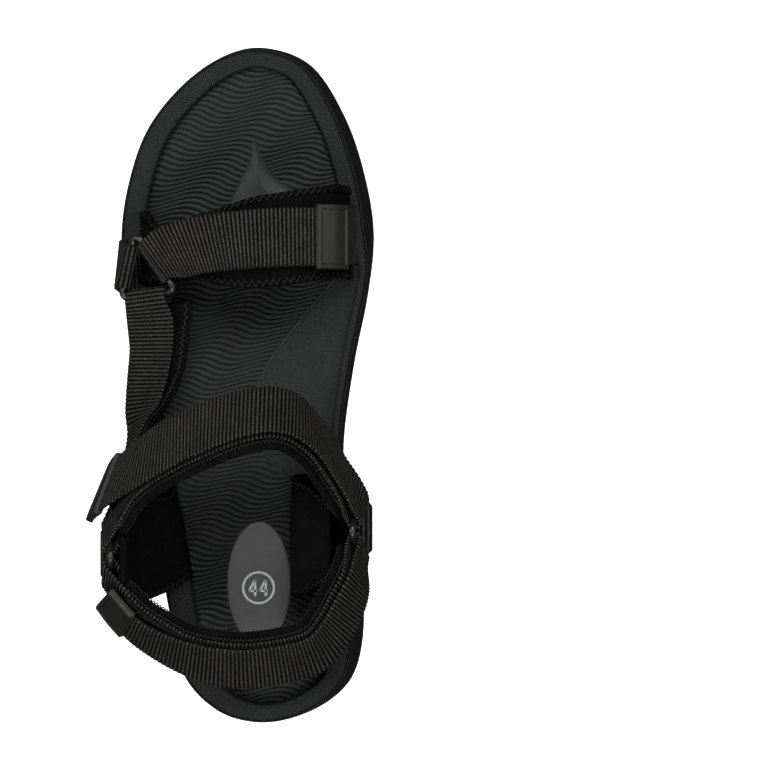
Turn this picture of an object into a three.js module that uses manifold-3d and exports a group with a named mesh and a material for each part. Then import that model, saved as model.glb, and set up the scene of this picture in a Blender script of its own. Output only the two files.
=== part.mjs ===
// A strappy sport sandal for the left foot, as separate pieces: a three-layer sole, soft pads and
// linings, webbing straps that fold back through three triangular rings and close on themselves with
// hook-and-loop patches, and moulded pull tabs.
// Millimetres. +Z is up, the toes point to +Y and the big-toe side is +X.

import * as THREE from 'three';
import { mergeVertices } from 'three/addons/utils/BufferGeometryUtils.js';
import Module from 'manifold-3d';

const wasm = await Module();
wasm.setup();

// ---------------------------------------------------------------- driving dimensions

const WEB_WIDTH = 25; // strap webbing
const WEB_BUNCHED = 20; // webbing width where it folds round a ring bar
const WEB = 1.4; // webbing thickness
const PAD = 3.2; // soft pad and lining thickness
const PATCH = 0.7; // hook patch and loop patch thickness
const GAP = 0.3; // clearance between touching pieces
const BUNCH_LENGTH = 12; // distance over which webbing spreads from the ring to its full width

const BAR_RADIUS = 1.5; // ring wire
const RING_CORNER = 2.5; // centre-line radius of a ring corner
const FOLD_RADIUS = BAR_RADIUS + GAP + WEB / 2;

// Offsets of the layers below the centre of a closed strap's outer webbing.
const HOOK_OFFSET = -(WEB / 2 + GAP + PATCH / 2);
const LOOP_OFFSET = HOOK_OFFSET - PATCH - GAP;
const BASE_OFFSET = LOOP_OFFSET - PATCH / 2 - GAP - WEB / 2;
const PAD_DROP = WEB / 2 + GAP + PAD / 2; // from a webbing's centre to the pad or lining below it

const TAB_LENGTH = 16; // pull tab, a sleeve moulded over the end of the webbing
const TAB_END = 1.2; // its wall past the end of the webbing
const TAB_SIDE = 1.4; // how far it stands out past each edge of the webbing
const TAB_OVER = 1.1; // its wall above the webbing
const TAB_UNDER = 0.65; // its wall below the webbing
const HINGE_GAP = 0.5; // open slit at each hinge line of a strap

const PAD_BEYOND = 6.7; // pad past the bunched webbing's edge on the ankle-opening side
const PAD_MARGIN = 3.5; // and on the other side
const SEWN_TAIL = 4; // webbing turned back at a sewn end

const OUTSOLE = 5;
const LIP_INSET = 5.6; // from the widest outline in to the top outer edge of the midsole
const CUP_INSET = 7.2; // from the widest outline in to the inner wall of the midsole cup
const RIM_WIDTH = 6.6; // raised band round the footbed
const FOOTBED_DEPTH = 9; // footbed underside below the midsole lip
const SLOT_WIDTH = 7.4; // strap slots between footbed and midsole, across the sole edge
const SLOT_FLOOR = 8; // height of the bottom of the strap slots
const STRAP_INSET = CUP_INSET + 1.2; // strap centre in a slot, in from the outline
const LINING_INSET = STRAP_INSET + PAD_DROP + 0.6;

const OUTLINE_STEPS = 30; // outline points along each side of the sole
const CURVE_STEPS = 8; // points on each stretch of a strap route

// ---------------------------------------------------------------- vectors, curves and meshes

const vec = (p) => new THREE.Vector3(p[0], p[1], p[2]);
const along = (a, b, k) => a.clone().addScaledVector(b, k);
const smooth = (a, b, x) => THREE.MathUtils.smoothstep(x, a, b);

// Point at t (0 to 1) between p1 and p2 on the Catmull-Rom curve through four points.
function catmull(p0, p1, p2, p3, t) {
  const point = p1.clone().multiplyScalar(2);
  point.addScaledVector(p2.clone().sub(p0), t);
  const square = p0.clone().multiplyScalar(2).addScaledVector(p1, -5).addScaledVector(p2, 4).sub(p3);
  point.addScaledVector(square, t * t);
  const cube = p1.clone().multiplyScalar(3).sub(p0).addScaledVector(p2, -3).add(p3);
  point.addScaledVector(cube, t * t * t);
  return point.multiplyScalar(0.5);
}

// Points along an open curve through the given points, as many on each stretch as `steps`.
function openCurve(points, steps) {
  const last = points.length - 1;
  const ends = [along(points[0].clone().multiplyScalar(2), points[1], -1)];
  ends.push(along(points[last].clone().multiplyScalar(2), points[last - 1], -1));
  const at = (i) => (i < 0 ? ends[0] : i > last ? ends[1] : points[i]);
  const curve = [];
  for (let i = 0; i < last; i += 1) {
    for (let k = 0; k < steps; k += 1) {
      curve.push(catmull(at(i - 1), at(i), at(i + 1), at(i + 2), k / steps));
    }
  }
  curve.push(points[last].clone());
  return curve;
}

// A closed mesh from rings of equally many points, joined in order, with its two ends capped. Two
// surfaces that face each other list their rings in the same order, so that their facets match.
function loft(rings, capEnds = true) {
  const count = rings[0].length;
  const positions = rings.flat();
  const faces = [];
  const last = rings.length - 1;
  const joins = capEnds ? last : rings.length;
  for (let r = 0; r < joins; r += 1) {
    const next = (r + 1) % rings.length;
    for (let i = 0; i < count; i += 1) {
      const j = (i + 1) % count;
      faces.push([r * count + i, next * count + i, next * count + j]);
      faces.push([r * count + i, next * count + j, r * count + j]);
    }
  }
  if (capEnds) {
    faces.push(...capFaces(0, count), ...capFaces(last * count, count).map((f) => [f[0], f[2], f[1]]));
  }
  return solid(positions, faces);
}

// Caps a ring by joining its points in pairs, first to last, as the sole's two sides lie.
function capFaces(first, count) {
  const faces = [];
  for (let i = 0; i < count / 2; i += 1) {
    const a = first + i;
    const b = first + ((count - i) % count);
    const c = first + i + 1;
    const d = first + count - 1 - i;
    if (a !== b) faces.push([a, c, b]);
    if (c !== d) faces.push([b, c, d]);
  }
  return faces;
}

function solid(positions, faces) {
  const geometry = new THREE.BufferGeometry();
  geometry.setAttribute('position', new THREE.Float32BufferAttribute(positions.flatMap((p) => p.toArray()), 3));
  geometry.setIndex(faces.flat());
  if (signedVolume(geometry) < 0) geometry.setIndex(faces.map((f) => [f[0], f[2], f[1]]).flat());
  geometry.computeVertexNormals();
  return geometry;
}

function signedVolume(geometry) {
  const position = geometry.getAttribute('position');
  const index = geometry.getIndex();
  const corner = [new THREE.Vector3(), new THREE.Vector3(), new THREE.Vector3()];
  let volume = 0;
  for (let i = 0; i < index.count; i += 3) {
    corner.forEach((c, k) => c.fromBufferAttribute(position, index.getX(i + k)));
    volume += corner[0].dot(corner[1].clone().cross(corner[2])) / 6;
  }
  return volume;
}

function toManifold(geometry) {
  const plain = geometry.clone();
  plain.deleteAttribute('normal');
  plain.deleteAttribute('uv');
  const merged = mergeVertices(plain, 1e-4);
  return new wasm.Manifold(
    new wasm.Mesh({
      numProp: 3,
      vertProperties: new Float32Array(merged.getAttribute('position').array),
      triVerts: new Uint32Array(merged.getIndex().array),
    }),
  );
}

function fromManifold(manifold) {
  const mesh = manifold.getMesh();
  const geometry = new THREE.BufferGeometry();
  geometry.setAttribute('position', new THREE.Float32BufferAttribute(mesh.vertProperties, 3));
  geometry.setIndex(Array.from(mesh.triVerts));
  geometry.computeVertexNormals();
  return geometry;
}

function cut(geometry, cutters) {
  let body = toManifold(geometry);
  for (const cutter of cutters) body = body.subtract(toManifold(cutter));
  return fromManifold(body);
}

// ---------------------------------------------------------------- sole

// The widest outline of the sole, from the heel tip to the toe tip along each side.
const HEEL_TIP = [3.5, -149.9];
const TOE_TIP = [6.7, 149.5];
const INNER_SIDE = [
  [22, -147.6], [38.6, -138.4], [47.5, -125.5], [50.6, -104], [47.9, -82], [43.4, -54], [41.5, -26.5],
  [46.1, 8.9], [52.3, 40], [55, 66.5], [51.4, 91.8], [42.6, 118.4], [27.5, 141.5],
];
const OUTER_SIDE = [
  [-14.5, -144], [-29.3, -127.7], [-35.5, -100.7], [-41.2, -68.7], [-46.8, -40], [-51.6, 0], [-55.9, 37.7],
  [-57.4, 65.6], [-54.1, 89.6], [-45.7, 113.1], [-30.5, 132.5], [-12, 145.8],
];

const OUTLINE = soleOutline();

// Outline points with their outward directions, evenly spaced along each side.
function soleOutline() {
  const flat = (p) => new THREE.Vector3(p[0], p[1], 0);
  const loop = [HEEL_TIP, ...INNER_SIDE, TOE_TIP, ...[...OUTER_SIDE].reverse()].map(flat);
  const count = loop.length;
  const fine = 10;
  const curve = [];
  for (let i = 0; i < count; i += 1) {
    const p = [-1, 0, 1, 2].map((k) => loop[(i + k + count) % count]);
    for (let k = 0; k < fine; k += 1) curve.push(catmull(...p, k / fine));
  }
  const toe = (INNER_SIDE.length + 1) * fine;
  const inner = evenly(curve.slice(0, toe + 1), OUTLINE_STEPS);
  const outer = evenly([...curve.slice(toe), curve[0]], OUTLINE_STEPS);
  const points = [...inner.slice(0, -1), ...outer.slice(0, -1)];
  return points.map((point, i) => {
    const next = points[(i + 1) % points.length];
    const before = points[(i - 1 + points.length) % points.length];
    const run = next.clone().sub(before).normalize();
    return { point, out: new THREE.Vector3(run.y, -run.x, 0) };
  });
}

// The same curve as `steps` equal chords.
function evenly(curve, steps) {
  const reach = [0];
  for (let i = 1; i < curve.length; i += 1) reach.push(reach[i - 1] + curve[i].distanceTo(curve[i - 1]));
  const total = reach[reach.length - 1];
  const points = [];
  let i = 0;
  for (let k = 0; k <= steps; k += 1) {
    const want = (total * k) / steps;
    while (i < curve.length - 2 && reach[i + 1] < want) i += 1;
    points.push(curve[i].clone().lerp(curve[i + 1], (want - reach[i]) / (reach[i + 1] - reach[i])));
  }
  return points;
}

// Height of the ground side of the sole: flat, with toe spring and a small bevel at the heel.
const groundSide = (y) => 9 * smooth(72, 168, y) ** 1.2 * 1.35 + 3 * smooth(128, 160, -y);

// Height of the midsole's top edge: high at the heel and the arch, low at the ball, up again at the toe.
const lipHeight = (y) => 33 - 7 * smooth(-60, 55, y) + 4.5 * smooth(80, 150, y);

// How far the footbed's walking surface lies below the lip.
const floorDrop = (y) => 5 - 2 * smooth(-60, 50, y);

// One ring of the sole at a distance in from the outline; `height` gives z for a point's y.
const soleRing = (inset, height) =>
  OUTLINE.map(({ point, out }) => {
    const p = along(point, out, -inset);
    p.z = height(p.y);
    return p;
  });

// A ring between the one at `inset` and the sole's middle line, at a fraction of the way out.
const innerRing = (inset, fraction, height) =>
  OUTLINE.map(({ point, out }) => {
    const p = along(point, out, -inset);
    p.x = 1 + (p.x - 1) * fraction;
    p.y = THREE.MathUtils.clamp(p.y, -115, 110) * (1 - fraction) + p.y * fraction;
    p.z = height(p.y);
    return p;
  });

function outsoleGeometry() {
  const top = (y) => groundSide(y) + OUTSOLE;
  const slab = loft([
    innerRing(14, 0.35, top),
    soleRing(14, top),
    soleRing(1, top),
    soleRing(1.4, (y) => groundSide(y) + 1.6),
    soleRing(4, groundSide),
    soleRing(14, groundSide),
    innerRing(14, 0.35, groundSide),
  ]);
  return cut(slab, treadGrooves());
}

// Angled grooves across the tread, with a flat heel land and ball land left between them.
function treadGrooves() {
  const grooves = [];
  const depth = 2.4;
  for (const y of [-132, -116, -72, -54, -36, -18, 0, 18, 36, 86, 104, 122, 136]) {
    for (const side of [-1, 1]) {
      const groove = new THREE.BoxGeometry(70, 4, 12);
      groove.rotateZ(side * 0.32);
      groove.translate(side * 34, y - side * 1.5, groundSide(y) + depth - 6);
      grooves.push(groove);
    }
  }
  return grooves;
}

function midsoleGeometry() {
  const bottom = (y) => groundSide(y) + OUTSOLE + GAP;
  const floor = (y) => lipHeight(y) - FOOTBED_DEPTH - GAP;
  const cup = loft([
    innerRing(14, 0.35, bottom),
    soleRing(14, bottom),
    soleRing(1, bottom),
    soleRing(0, (y) => bottom(y) + 4),
    soleRing(1.4, (y) => bottom(y) + 10),
    soleRing(LIP_INSET, (y) => lipHeight(y) - 1),
    soleRing(CUP_INSET - 0.7, lipHeight),
    soleRing(CUP_INSET, (y) => lipHeight(y) - 1),
    soleRing(CUP_INSET, floor),
    soleRing(16, floor),
    innerRing(16, 0.35, floor),
  ]);
  return cut(cup, slotCutters());
}

function footbedGeometry() {
  const bottom = (y) => lipHeight(y) - FOOTBED_DEPTH;
  const floor = (y) => lipHeight(y) - floorDrop(y);
  const edge = CUP_INSET + GAP;
  const bed = loft([
    innerRing(16, 0.35, floor),
    soleRing(edge + RIM_WIDTH + 2, floor),
    soleRing(edge + RIM_WIDTH, (y) => floor(y) + 0.3),
    soleRing(edge + RIM_WIDTH - 1.2, (y) => lipHeight(y) + 0.4),
    soleRing(edge + 1, (y) => lipHeight(y) + 0.6),
    soleRing(edge, (y) => lipHeight(y) - 0.4),
    soleRing(edge, bottom),
    soleRing(16, bottom),
    innerRing(16, 0.35, bottom),
  ]);
  return cut(bed, slotCutters());
}

// Where webbing and linings go down between footbed and midsole: side of the sole (+1 inner), place
// along the foot and length along the edge.
const SLOTS = {
  innerBall: { side: 1, y: 67, length: 47 },
  outerBall: { side: -1, y: 57, length: 46 },
  innerAnkle: { side: 1, y: -66, length: 42 },
  outerAnkle: { side: -1, y: -69, length: 42 },
};

function slotCutters() {
  return Object.values(SLOTS).map((slot) => {
    const edge = slotEdge(slot);
    const cutter = new THREE.BoxGeometry(SLOT_WIDTH, slot.length, 60);
    cutter.translate(-(CUP_INSET + SLOT_WIDTH / 2 - GAP), 0, SLOT_FLOOR + 30);
    cutter.rotateZ(Math.atan2(edge.out.y, edge.out.x));
    cutter.translate(edge.point.x, edge.point.y, 0);
    return cutter;
  });
}

// The place on the outline beside a slot, with the directions outward and along the edge.
function slotEdge({ side, y }) {
  const onSide = OUTLINE.filter(({ out }) => out.x * side > 0.5).sort((a, b) => a.point.y - b.point.y);
  const i = onSide.findIndex(({ point }) => point.y > y);
  const k = (y - onSide[i - 1].point.y) / (onSide[i].point.y - onSide[i - 1].point.y);
  const point = onSide[i - 1].point.clone().lerp(onSide[i].point, k);
  const out = onSide[i - 1].out.clone().lerp(onSide[i].out, k).normalize();
  return { point, out, run: new THREE.Vector3(-out.y, out.x, 0) };
}

// Stations inside a slot, from its bottom up, at a distance in from the outline and `shift` along it.
function slotStations(slot, inset, shift = 0) {
  const edge = slotEdge(slot);
  const bottom = SLOT_FLOOR + 2;
  const top = lipHeight(slot.y) + 0.5;
  return [bottom, (bottom + top) / 2, top].map((z) => {
    const c = along(along(edge.point, edge.out, -inset), edge.run, shift);
    c.z = z;
    return { c, w: edge.run };
  });
}

// The same stations for webbing that runs down into the slot.
const slotDown = (slot, inset, shift = 0) =>
  slotStations(slot, inset, shift).reverse().map(({ c, w }) => ({ c, w: w.clone().negate() }));

// ---------------------------------------------------------------- webbing routes

// A route is a list of frames: centre c, width direction w, run direction t, outward direction n and
// distance s from its start.
function routeFrames(stations) {
  const centres = openCurve(stations.map((station) => station.c), CURVE_STEPS);
  const widths = openCurve(stations.map((station) => station.w), CURVE_STEPS);
  return withDirections(centres.map((c, i) => ({ c, w: widths[i].normalize() })));
}

function withDirections(frames) {
  const last = frames.length - 1;
  let s = 0;
  return frames.map((frame, i) => {
    if (i > 0) s += frame.c.distanceTo(frames[i - 1].c);
    const t = frames[Math.min(i + 1, last)].c.clone().sub(frames[Math.max(i - 1, 0)].c).normalize();
    const n = frame.w.clone().cross(t).normalize();
    return { c: frame.c, w: frame.w, t, n, s };
  });
}

const routeLength = (frames) => frames[frames.length - 1].s;

function frameAt(frames, s) {
  let i = 0;
  while (i < frames.length - 2 && frames[i + 1].s < s) i += 1;
  const k = THREE.MathUtils.clamp((s - frames[i].s) / (frames[i + 1].s - frames[i].s), 0, 1);
  const mix = (key) => frames[i][key].clone().lerp(frames[i + 1][key], k);
  return { c: mix('c'), w: mix('w').normalize(), t: mix('t').normalize(), n: mix('n').normalize(), s };
}

// Frames from one distance to another, about `step` apart.
function stretch(frames, from, to, step = 3) {
  const count = Math.max(2, Math.round(Math.abs(to - from) / step));
  return Array.from({ length: count + 1 }, (_, i) => frameAt(frames, from + ((to - from) * i) / count));
}

// The same frames moved outward; `offset` is a number or a function of the distance s.
function moved(frames, offset) {
  const amount = typeof offset === 'function' ? offset : () => offset;
  return frames.map((frame) => ({ ...frame, c: along(frame.c, frame.n, amount(frame.s)) }));
}

// A flat strip along frames. `width` may be a function of s; `shift` moves it along w.
function strip(frames, { width, thickness, shift = 0 }) {
  const widthAt = typeof width === 'function' ? width : () => width;
  const rings = frames.map((frame) => {
    const half = widthAt(frame.s) / 2;
    const corner = (u, v) => along(along(frame.c, frame.w, shift + u * half), frame.n, (v * thickness) / 2);
    return [corner(-1, -1), corner(1, -1), corner(1, 1), corner(-1, 1)];
  });
  return loft(rings);
}

const webbing = (frames, width = WEB_WIDTH) => strip(frames, { width, thickness: WEB });

// Webbing width at a distance from the ring it folds round.
const bunched = (s) => WEB_BUNCHED + (WEB_WIDTH - WEB_BUNCHED) * smooth(0, BUNCH_LENGTH, s);

// ---------------------------------------------------------------- rings

// Each ring is a triangle of wire with rounded corners.
const RINGS = {
  forefoot: [vec([-48.8, 66.6, 43.6]), vec([-30.4, 40.6, 47]), vec([-56.2, 37.8, 32])],
  medial: [vec([45.6, -61.7, 80.2]), vec([51.4, -45.6, 53.4]), vec([51.4, -77.8, 53.4])],
  lateral: [vec([-55.8, -72.7, 78.8]), vec([-59.8, -56.6, 51.8]), vec([-59.8, -88.8, 51.8])],
};

function ringGeometry(corners) {
  const centreLine = [];
  const tangent = RING_CORNER * Math.sqrt(3);
  const sweep = (2 * Math.PI) / 3;
  const steps = 6;
  corners.forEach((corner, i) => {
    const before = corners[(i + 2) % 3].clone().sub(corner).normalize();
    const after = corners[(i + 1) % 3].clone().sub(corner).normalize();
    const centre = along(corner, before.clone().add(after).normalize(), 2 * RING_CORNER);
    const first = along(corner, before, tangent).sub(centre);
    const last = along(corner, after, tangent).sub(centre);
    for (let k = 0; k <= steps; k += 1) {
      const reach = along(centre, first, Math.sin(sweep * (1 - k / steps)) / Math.sin(sweep));
      centreLine.push(along(reach, last, Math.sin((sweep * k) / steps) / Math.sin(sweep)));
    }
  });
  const up = corners[1].clone().sub(corners[0]).cross(corners[2].clone().sub(corners[0])).normalize();
  const sides = 8;
  const rings = centreLine.map((point, i) => {
    const next = centreLine[(i + 1) % centreLine.length];
    const before = centreLine[(i - 1 + centreLine.length) % centreLine.length];
    const across = next.clone().sub(before).normalize().cross(up);
    return Array.from({ length: sides }, (_, k) => {
      const angle = (2 * Math.PI * k) / sides;
      return along(along(point, up, BAR_RADIUS * Math.sin(angle)), across, BAR_RADIUS * Math.cos(angle));
    });
  });
  return loft(rings, false);
}

// Webbing meets a ring bar at its middle; it runs off square to the bar towards `target`.
// `w` is the width direction and points the way that makes n face away from the foot.
function barFrame(start, end, target) {
  const c = start.clone().add(end).multiplyScalar(0.5);
  const w = end.clone().sub(start).normalize();
  const t = vec(target).sub(c);
  t.addScaledVector(w, -t.dot(w)).normalize();
  return { c, w, t, n: w.clone().cross(t).normalize() };
}

// Frames of the half turn round a bar, from the outer (+1) or inner (-1) side to the other one,
// then back along the run for `tail`.
function halfTurn(bar, side, tail = 0) {
  const steps = 6;
  const frames = [];
  for (let i = 1; i <= steps; i += 1) {
    const angle = (Math.PI * i) / steps;
    const out = bar.n.clone().multiplyScalar(side * Math.cos(angle)).addScaledVector(bar.t, -Math.sin(angle));
    frames.push({ c: along(bar.c, out, FOLD_RADIUS), w: bar.w, n: out.clone().multiplyScalar(side), s: 0 });
  }
  if (tail > 0) {
    const end = frames[frames.length - 1];
    frames.push({ ...end, c: along(end.c, bar.t, tail) });
  }
  return frames;
}

// The station at a bar on its outer (+1) or inner (-1) side, where a route meets it.
const barStation = (bar, side) => ({ c: along(bar.c, bar.n, side * FOLD_RADIUS), w: bar.w });

// The same, with one more that makes the route leave square to the bar.
function barStations(bar, side) {
  const start = barStation(bar, side);
  return [start, { c: along(start.c, bar.t, 4), w: bar.w }];
}

const stations = (rows) => rows.map(([c, w]) => ({ c: vec(c), w: vec(w).normalize() }));

// ---------------------------------------------------------------- closed straps

// Every closed strap leaves the sole or a ring as its base, folds round a ring bar and comes back over
// the base as the flap. `shared` are the flap's centre points that the base follows below it, from the
// ring on. `flapEnd` and `baseEnd` are the rest of each, the flap to its tab and the base to its anchor.
const STRAPS = {
  forefoot: {
    ring: [RINGS.forefoot[0], RINGS.forefoot[1]],
    shared: [
      [[-21, 60, 57.5], [0.32, -0.94, 0.1]],
      [[0, 62.7, 62.5], [0.08, -0.98, 0.18]],
      [[19, 63.6, 62], [0.02, -1, 0.08]],
      [[36, 63.8, 56], [0, -1, 0]],
    ],
    flapEnd: [[[43.4, 63.8, 49.6], [0, -1, 0]]],
    baseEnd: [
      [[42, 64.4, 44.5], [0, -1, 0]],
      [[45.8, 65.4, 34], [0, -1, 0]],
    ],
    tipLength: 36,
  },
  instep: {
    ring: [RINGS.medial[0], RINGS.medial[1]],
    shared: [
      [[43.5, -39.5, 72], [-0.02, 0.64, -0.77]],
      [[36.5, -27.5, 76.5], [-0.06, 0.74, -0.67]],
      [[30.6, -19.5, 81.5], [-0.08, 0.72, -0.69]],
      [[22.5, -12.5, 87.5], [0, 0.73, -0.68]],
      [[12, -10, 92], [0, 0.74, -0.66]],
      [[-1, -12, 91.5], [0, 0.79, -0.61]],
      [[-14, -16.5, 88.5], [0, 0.83, -0.55]],
      [[-27, -22, 83], [-0.02, 0.86, -0.5]],
    ],
    flapEnd: [
      [[-40, -29.5, 76.5], [0.08, 0.9, -0.42]],
      [[-50.5, -36.5, 70.5], [0.22, 0.92, -0.3]],
      [[-57.4, -41.6, 64.5], [0.33, 0.93, -0.15]],
      [[-61, -44.6, 57.5], [0.38, 0.92, -0.05]],
      [[-62.8, -46.4, 49.5], [0.38, 0.92, 0]],
    ],
    baseEnd: [
      [[-37.6, -30.6, 73.6], [0.02, 0.86, -0.5]],
      [[-46.5, -38.6, 68.5], [-0.03, 0.76, -0.64]],
      [[-51.8, -48, 66], [-0.05, 0.66, -0.75]],
    ],
    tipLength: 38,
  },
  heel: {
    ring: [RINGS.medial[2], RINGS.medial[0]],
    shared: [
      [[48.8, -85, 62.5], [-0.32, 0.42, 0.85]],
      [[44, -96.5, 61.5], [-0.43, 0.4, 0.81]],
      [[38.5, -106.5, 61.5], [-0.4, 0.48, 0.78]],
      [[30, -115.5, 62], [-0.22, 0.64, 0.73]],
      [[16, -119.8, 62], [-0.08, 0.7, 0.71]],
      [[0, -121.8, 62], [0, 0.72, 0.69]],
      [[-14, -120.6, 62], [0.08, 0.7, 0.71]],
      [[-27, -116.6, 62], [0.15, 0.6, 0.78]],
    ],
    flapEnd: [
      [[-38, -111.5, 62], [0.2, 0.5, 0.84]],
      [[-47.3, -105.6, 61.5], [0.24, 0.42, 0.88]],
      [[-54.5, -98.5, 61], [0.28, 0.36, 0.89]],
      [[-60.5, -91, 60.5], [0.3, 0.3, 0.9]],
    ],
    baseEnd: [
      [[-35.4, -107, 61.8], [0.2, 0.48, 0.85]],
      [[-44.6, -100.8, 62], [0.24, 0.42, 0.87]],
      [[-51.6, -93.2, 63], [0.2, 0.42, 0.88]],
    ],
    tipLength: 38,
  },
};

// The ring bar that an ankle strap's base is sewn to at its far end.
const BASE_BARS = {
  instep: [RINGS.lateral[0], RINGS.lateral[1]],
  heel: [RINGS.lateral[2], RINGS.lateral[0]],
};

// The centre line of a strap's flap and of its base, each from the ring on, and the bars they meet.
function strapPlan(name) {
  const strap = STRAPS[name];
  const bar = barFrame(...strap.ring, strap.shared[0][0]);
  const start = barStations(bar, 1);
  const flap = routeFrames([...start, ...stations(strap.shared), ...stations(strap.flapEnd)]);
  const below = strap.shared.map((_, i) => {
    const frame = flap[(start.length + i) * CURVE_STEPS];
    return { c: along(frame.c, frame.n, BASE_OFFSET), w: frame.w };
  });
  const rest = stations(strap.baseEnd);
  const farBar = BASE_BARS[name] && barFrame(...BASE_BARS[name], strap.baseEnd[strap.baseEnd.length - 1][0]);
  const farEnd = farBar ? [barStation(farBar, -1)] : slotDown(SLOTS.innerBall, STRAP_INSET);
  const base = routeFrames([...barStations(bar, -1), ...below, ...rest, ...farEnd]);
  return { name, bar, farBar, flap, base, tipStart: routeLength(flap) - strap.tipLength };
}

// The base webbing: its whole run, then round the ring to where the flap begins. A base sewn to a ring
// at its far end is turned back there.
function strapBase({ bar, farBar, base }) {
  const length = routeLength(base);
  const width = (s) => (farBar ? bunched(Math.min(s, length - s)) : bunched(s));
  const run = stretch(base, length, 0).map((frame) => ({ ...frame, span: width(frame.s) }));
  const turn = halfTurn(bar, -1).map((frame) => ({ ...frame, span: WEB_BUNCHED }));
  const sewn = farBar ? farTurn(farBar).map((frame) => ({ ...frame, span: WEB_BUNCHED })) : [];
  return variedStrip([...sewn, ...run, ...turn]);
}

// The half turn at a sewn far end, from its tail to the main run. The bar's own outward direction there
// faces the foot, so it is turned round.
function farTurn(bar) {
  return halfTurn(bar, -1, SEWN_TAIL).reverse().map((frame) => ({ ...frame, n: frame.n.clone().negate() }));
}

function variedStrip(frames) {
  const numbered = frames.map((frame, i) => ({ ...frame, s: i }));
  return strip(numbered, { width: (i) => frames[i].span, thickness: WEB });
}

function loopPatch({ flap, base, tipStart }) {
  const end = Math.min(routeLength(flap), routeLength(base) - 14);
  const frames = moved(stretch(base, tipStart - 18, end - 1), WEB / 2 + GAP + PATCH / 2);
  return strip(frames, { width: WEB_WIDTH - 2, thickness: PATCH });
}

function hookPatch({ flap, tipStart }) {
  const frames = stretch(flap, tipStart + 1, routeLength(flap) - TAB_LENGTH - 0.5);
  return strip(moved(frames, HOOK_OFFSET), { width: WEB_WIDTH - 2, thickness: PATCH });
}

const flapWebbing = ({ flap, tipStart }) =>
  webbing(stretch(flap, HINGE_GAP, tipStart - HINGE_GAP / 2), bunched);

const tipWebbing = ({ flap, tipStart }) =>
  webbing(stretch(flap, tipStart + HINGE_GAP / 2, routeLength(flap) - TAB_END - GAP));

// The pull tab: a sleeve with the end of the webbing inside.
function pullTab({ flap }) {
  const end = routeLength(flap);
  const start = end - TAB_LENGTH;
  const thickness = TAB_OVER + TAB_UNDER + WEB + 2 * GAP;
  const body = strip(moved(stretch(flap, start, end), (TAB_OVER - TAB_UNDER) / 2), {
    width: WEB_WIDTH + 2 * TAB_SIDE,
    thickness,
  });
  const pocket = strip(stretch(flap, start - 2, end - TAB_END), {
    width: WEB_WIDTH + 2 * GAP,
    thickness: WEB + 2 * GAP,
  });
  return cut(body, [pocket]);
}

// The soft pad under an ankle strap, a little wider than the webbing, mostly towards the ankle opening.
function anklePad({ base }, openingSide) {
  const length = routeLength(base);
  const start = 4;
  const sewnEnd = 11;
  const frames = moved(stretch(base, start, length - sewnEnd), -PAD_DROP);
  const grow = (s) => smooth(start, 18, Math.min(s, length - s));
  const rings = frames.map((frame) => {
    const extra = PAD_BEYOND * grow(frame.s);
    const low = -openingSide * (WEB_BUNCHED / 2 + PAD_MARGIN * grow(frame.s));
    const high = openingSide * (WEB_BUNCHED / 2 + extra);
    const corner = (u, v) => along(along(frame.c, frame.w, u), frame.n, (v * PAD) / 2);
    return [corner(low, -1), corner(high, -1), corner(high, 1), corner(low, 1)];
  });
  return loft(rings);
}

// A piece of webbing from a slot in the sole up round a ring bar, with its end turned back inside.
function anchor(bar, belowRing, slot, tail = SEWN_TAIL) {
  const route = routeFrames([barStation(bar, 1), ...stations(belowRing), ...slot]);
  const run = stretch(route, routeLength(route), 0).map((frame) => ({ ...frame, span: bunched(frame.s) }));
  const turn = halfTurn(bar, 1, tail).map((frame) => ({ ...frame, span: WEB_BUNCHED }));
  return variedStrip([...run, ...turn]);
}

// ---------------------------------------------------------------- pads, linings and anchors

// The forefoot pad crosses the foot from the outer slot to the inner slot, below the strap and the ring.
function forefootPad() {
  const across = stations([
    [[-46.3, 57.3, 28], [0, -1, 0]],
    [[-43.3, 57.8, 33.5], [0.06, -0.99, -0.12]],
    [[-37, 58.6, 38], [0.1, -0.96, -0.24]],
    [[-30, 59, 42], [0.1, -0.96, -0.24]],
    [[-21, 59.4, 48.4], [0.12, -0.98, -0.1]],
    [[-9, 59.8, 53], [0.08, -0.98, 0.1]],
    [[7, 61.8, 55.8], [0.05, -0.98, 0.17]],
    [[27, 64.8, 52], [0, -1, 0.08]],
    [[36.6, 66.4, 45.6], [0, -1, 0]],
    [[41.8, 67, 35], [0, -1, 0]],
  ]);
  const start = slotStations(SLOTS.outerBall, LINING_INSET);
  const route = routeFrames([...start, ...across, ...slotDown(SLOTS.innerBall, LINING_INSET)]);
  const length = routeLength(route);
  const width = (s) => 26 + 15 * smooth(0.28, 0.55, s / length);
  return strip(stretch(route, 0, length, 6), { width, thickness: PAD });
}

const SIDE_STRAP = [
  [[-42.6, 28, 40.5], [-0.84, -0.03, -0.54]],
  [[-42, 17, 41.5], [-0.8, 0, -0.6]],
  [[-43.6, 2.2, 44.5], [-0.74, 0, -0.67]],
  [[-45.6, -10, 47.5], [-0.62, -0.1, -0.77]],
  [[-47, -18, 50], [-0.42, -0.36, -0.83]],
];

function sideRoute() {
  const bar = barFrame(RINGS.forefoot[1], RINGS.forefoot[2], SIDE_STRAP[0][0]);
  return { bar, route: routeFrames([...barStations(bar, 1), ...stations(SIDE_STRAP)]) };
}

// The strap along the outer side, from the forefoot ring back to the instep strap.
function sideStrap() {
  const { bar, route } = sideRoute();
  const run = stretch(route, routeLength(route), 0).map((frame) => ({ ...frame, span: bunched(frame.s) }));
  const turn = halfTurn(bar, 1, SEWN_TAIL).map((frame) => ({ ...frame, span: WEB_BUNCHED }));
  return variedStrip([...run, ...turn]);
}

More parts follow.
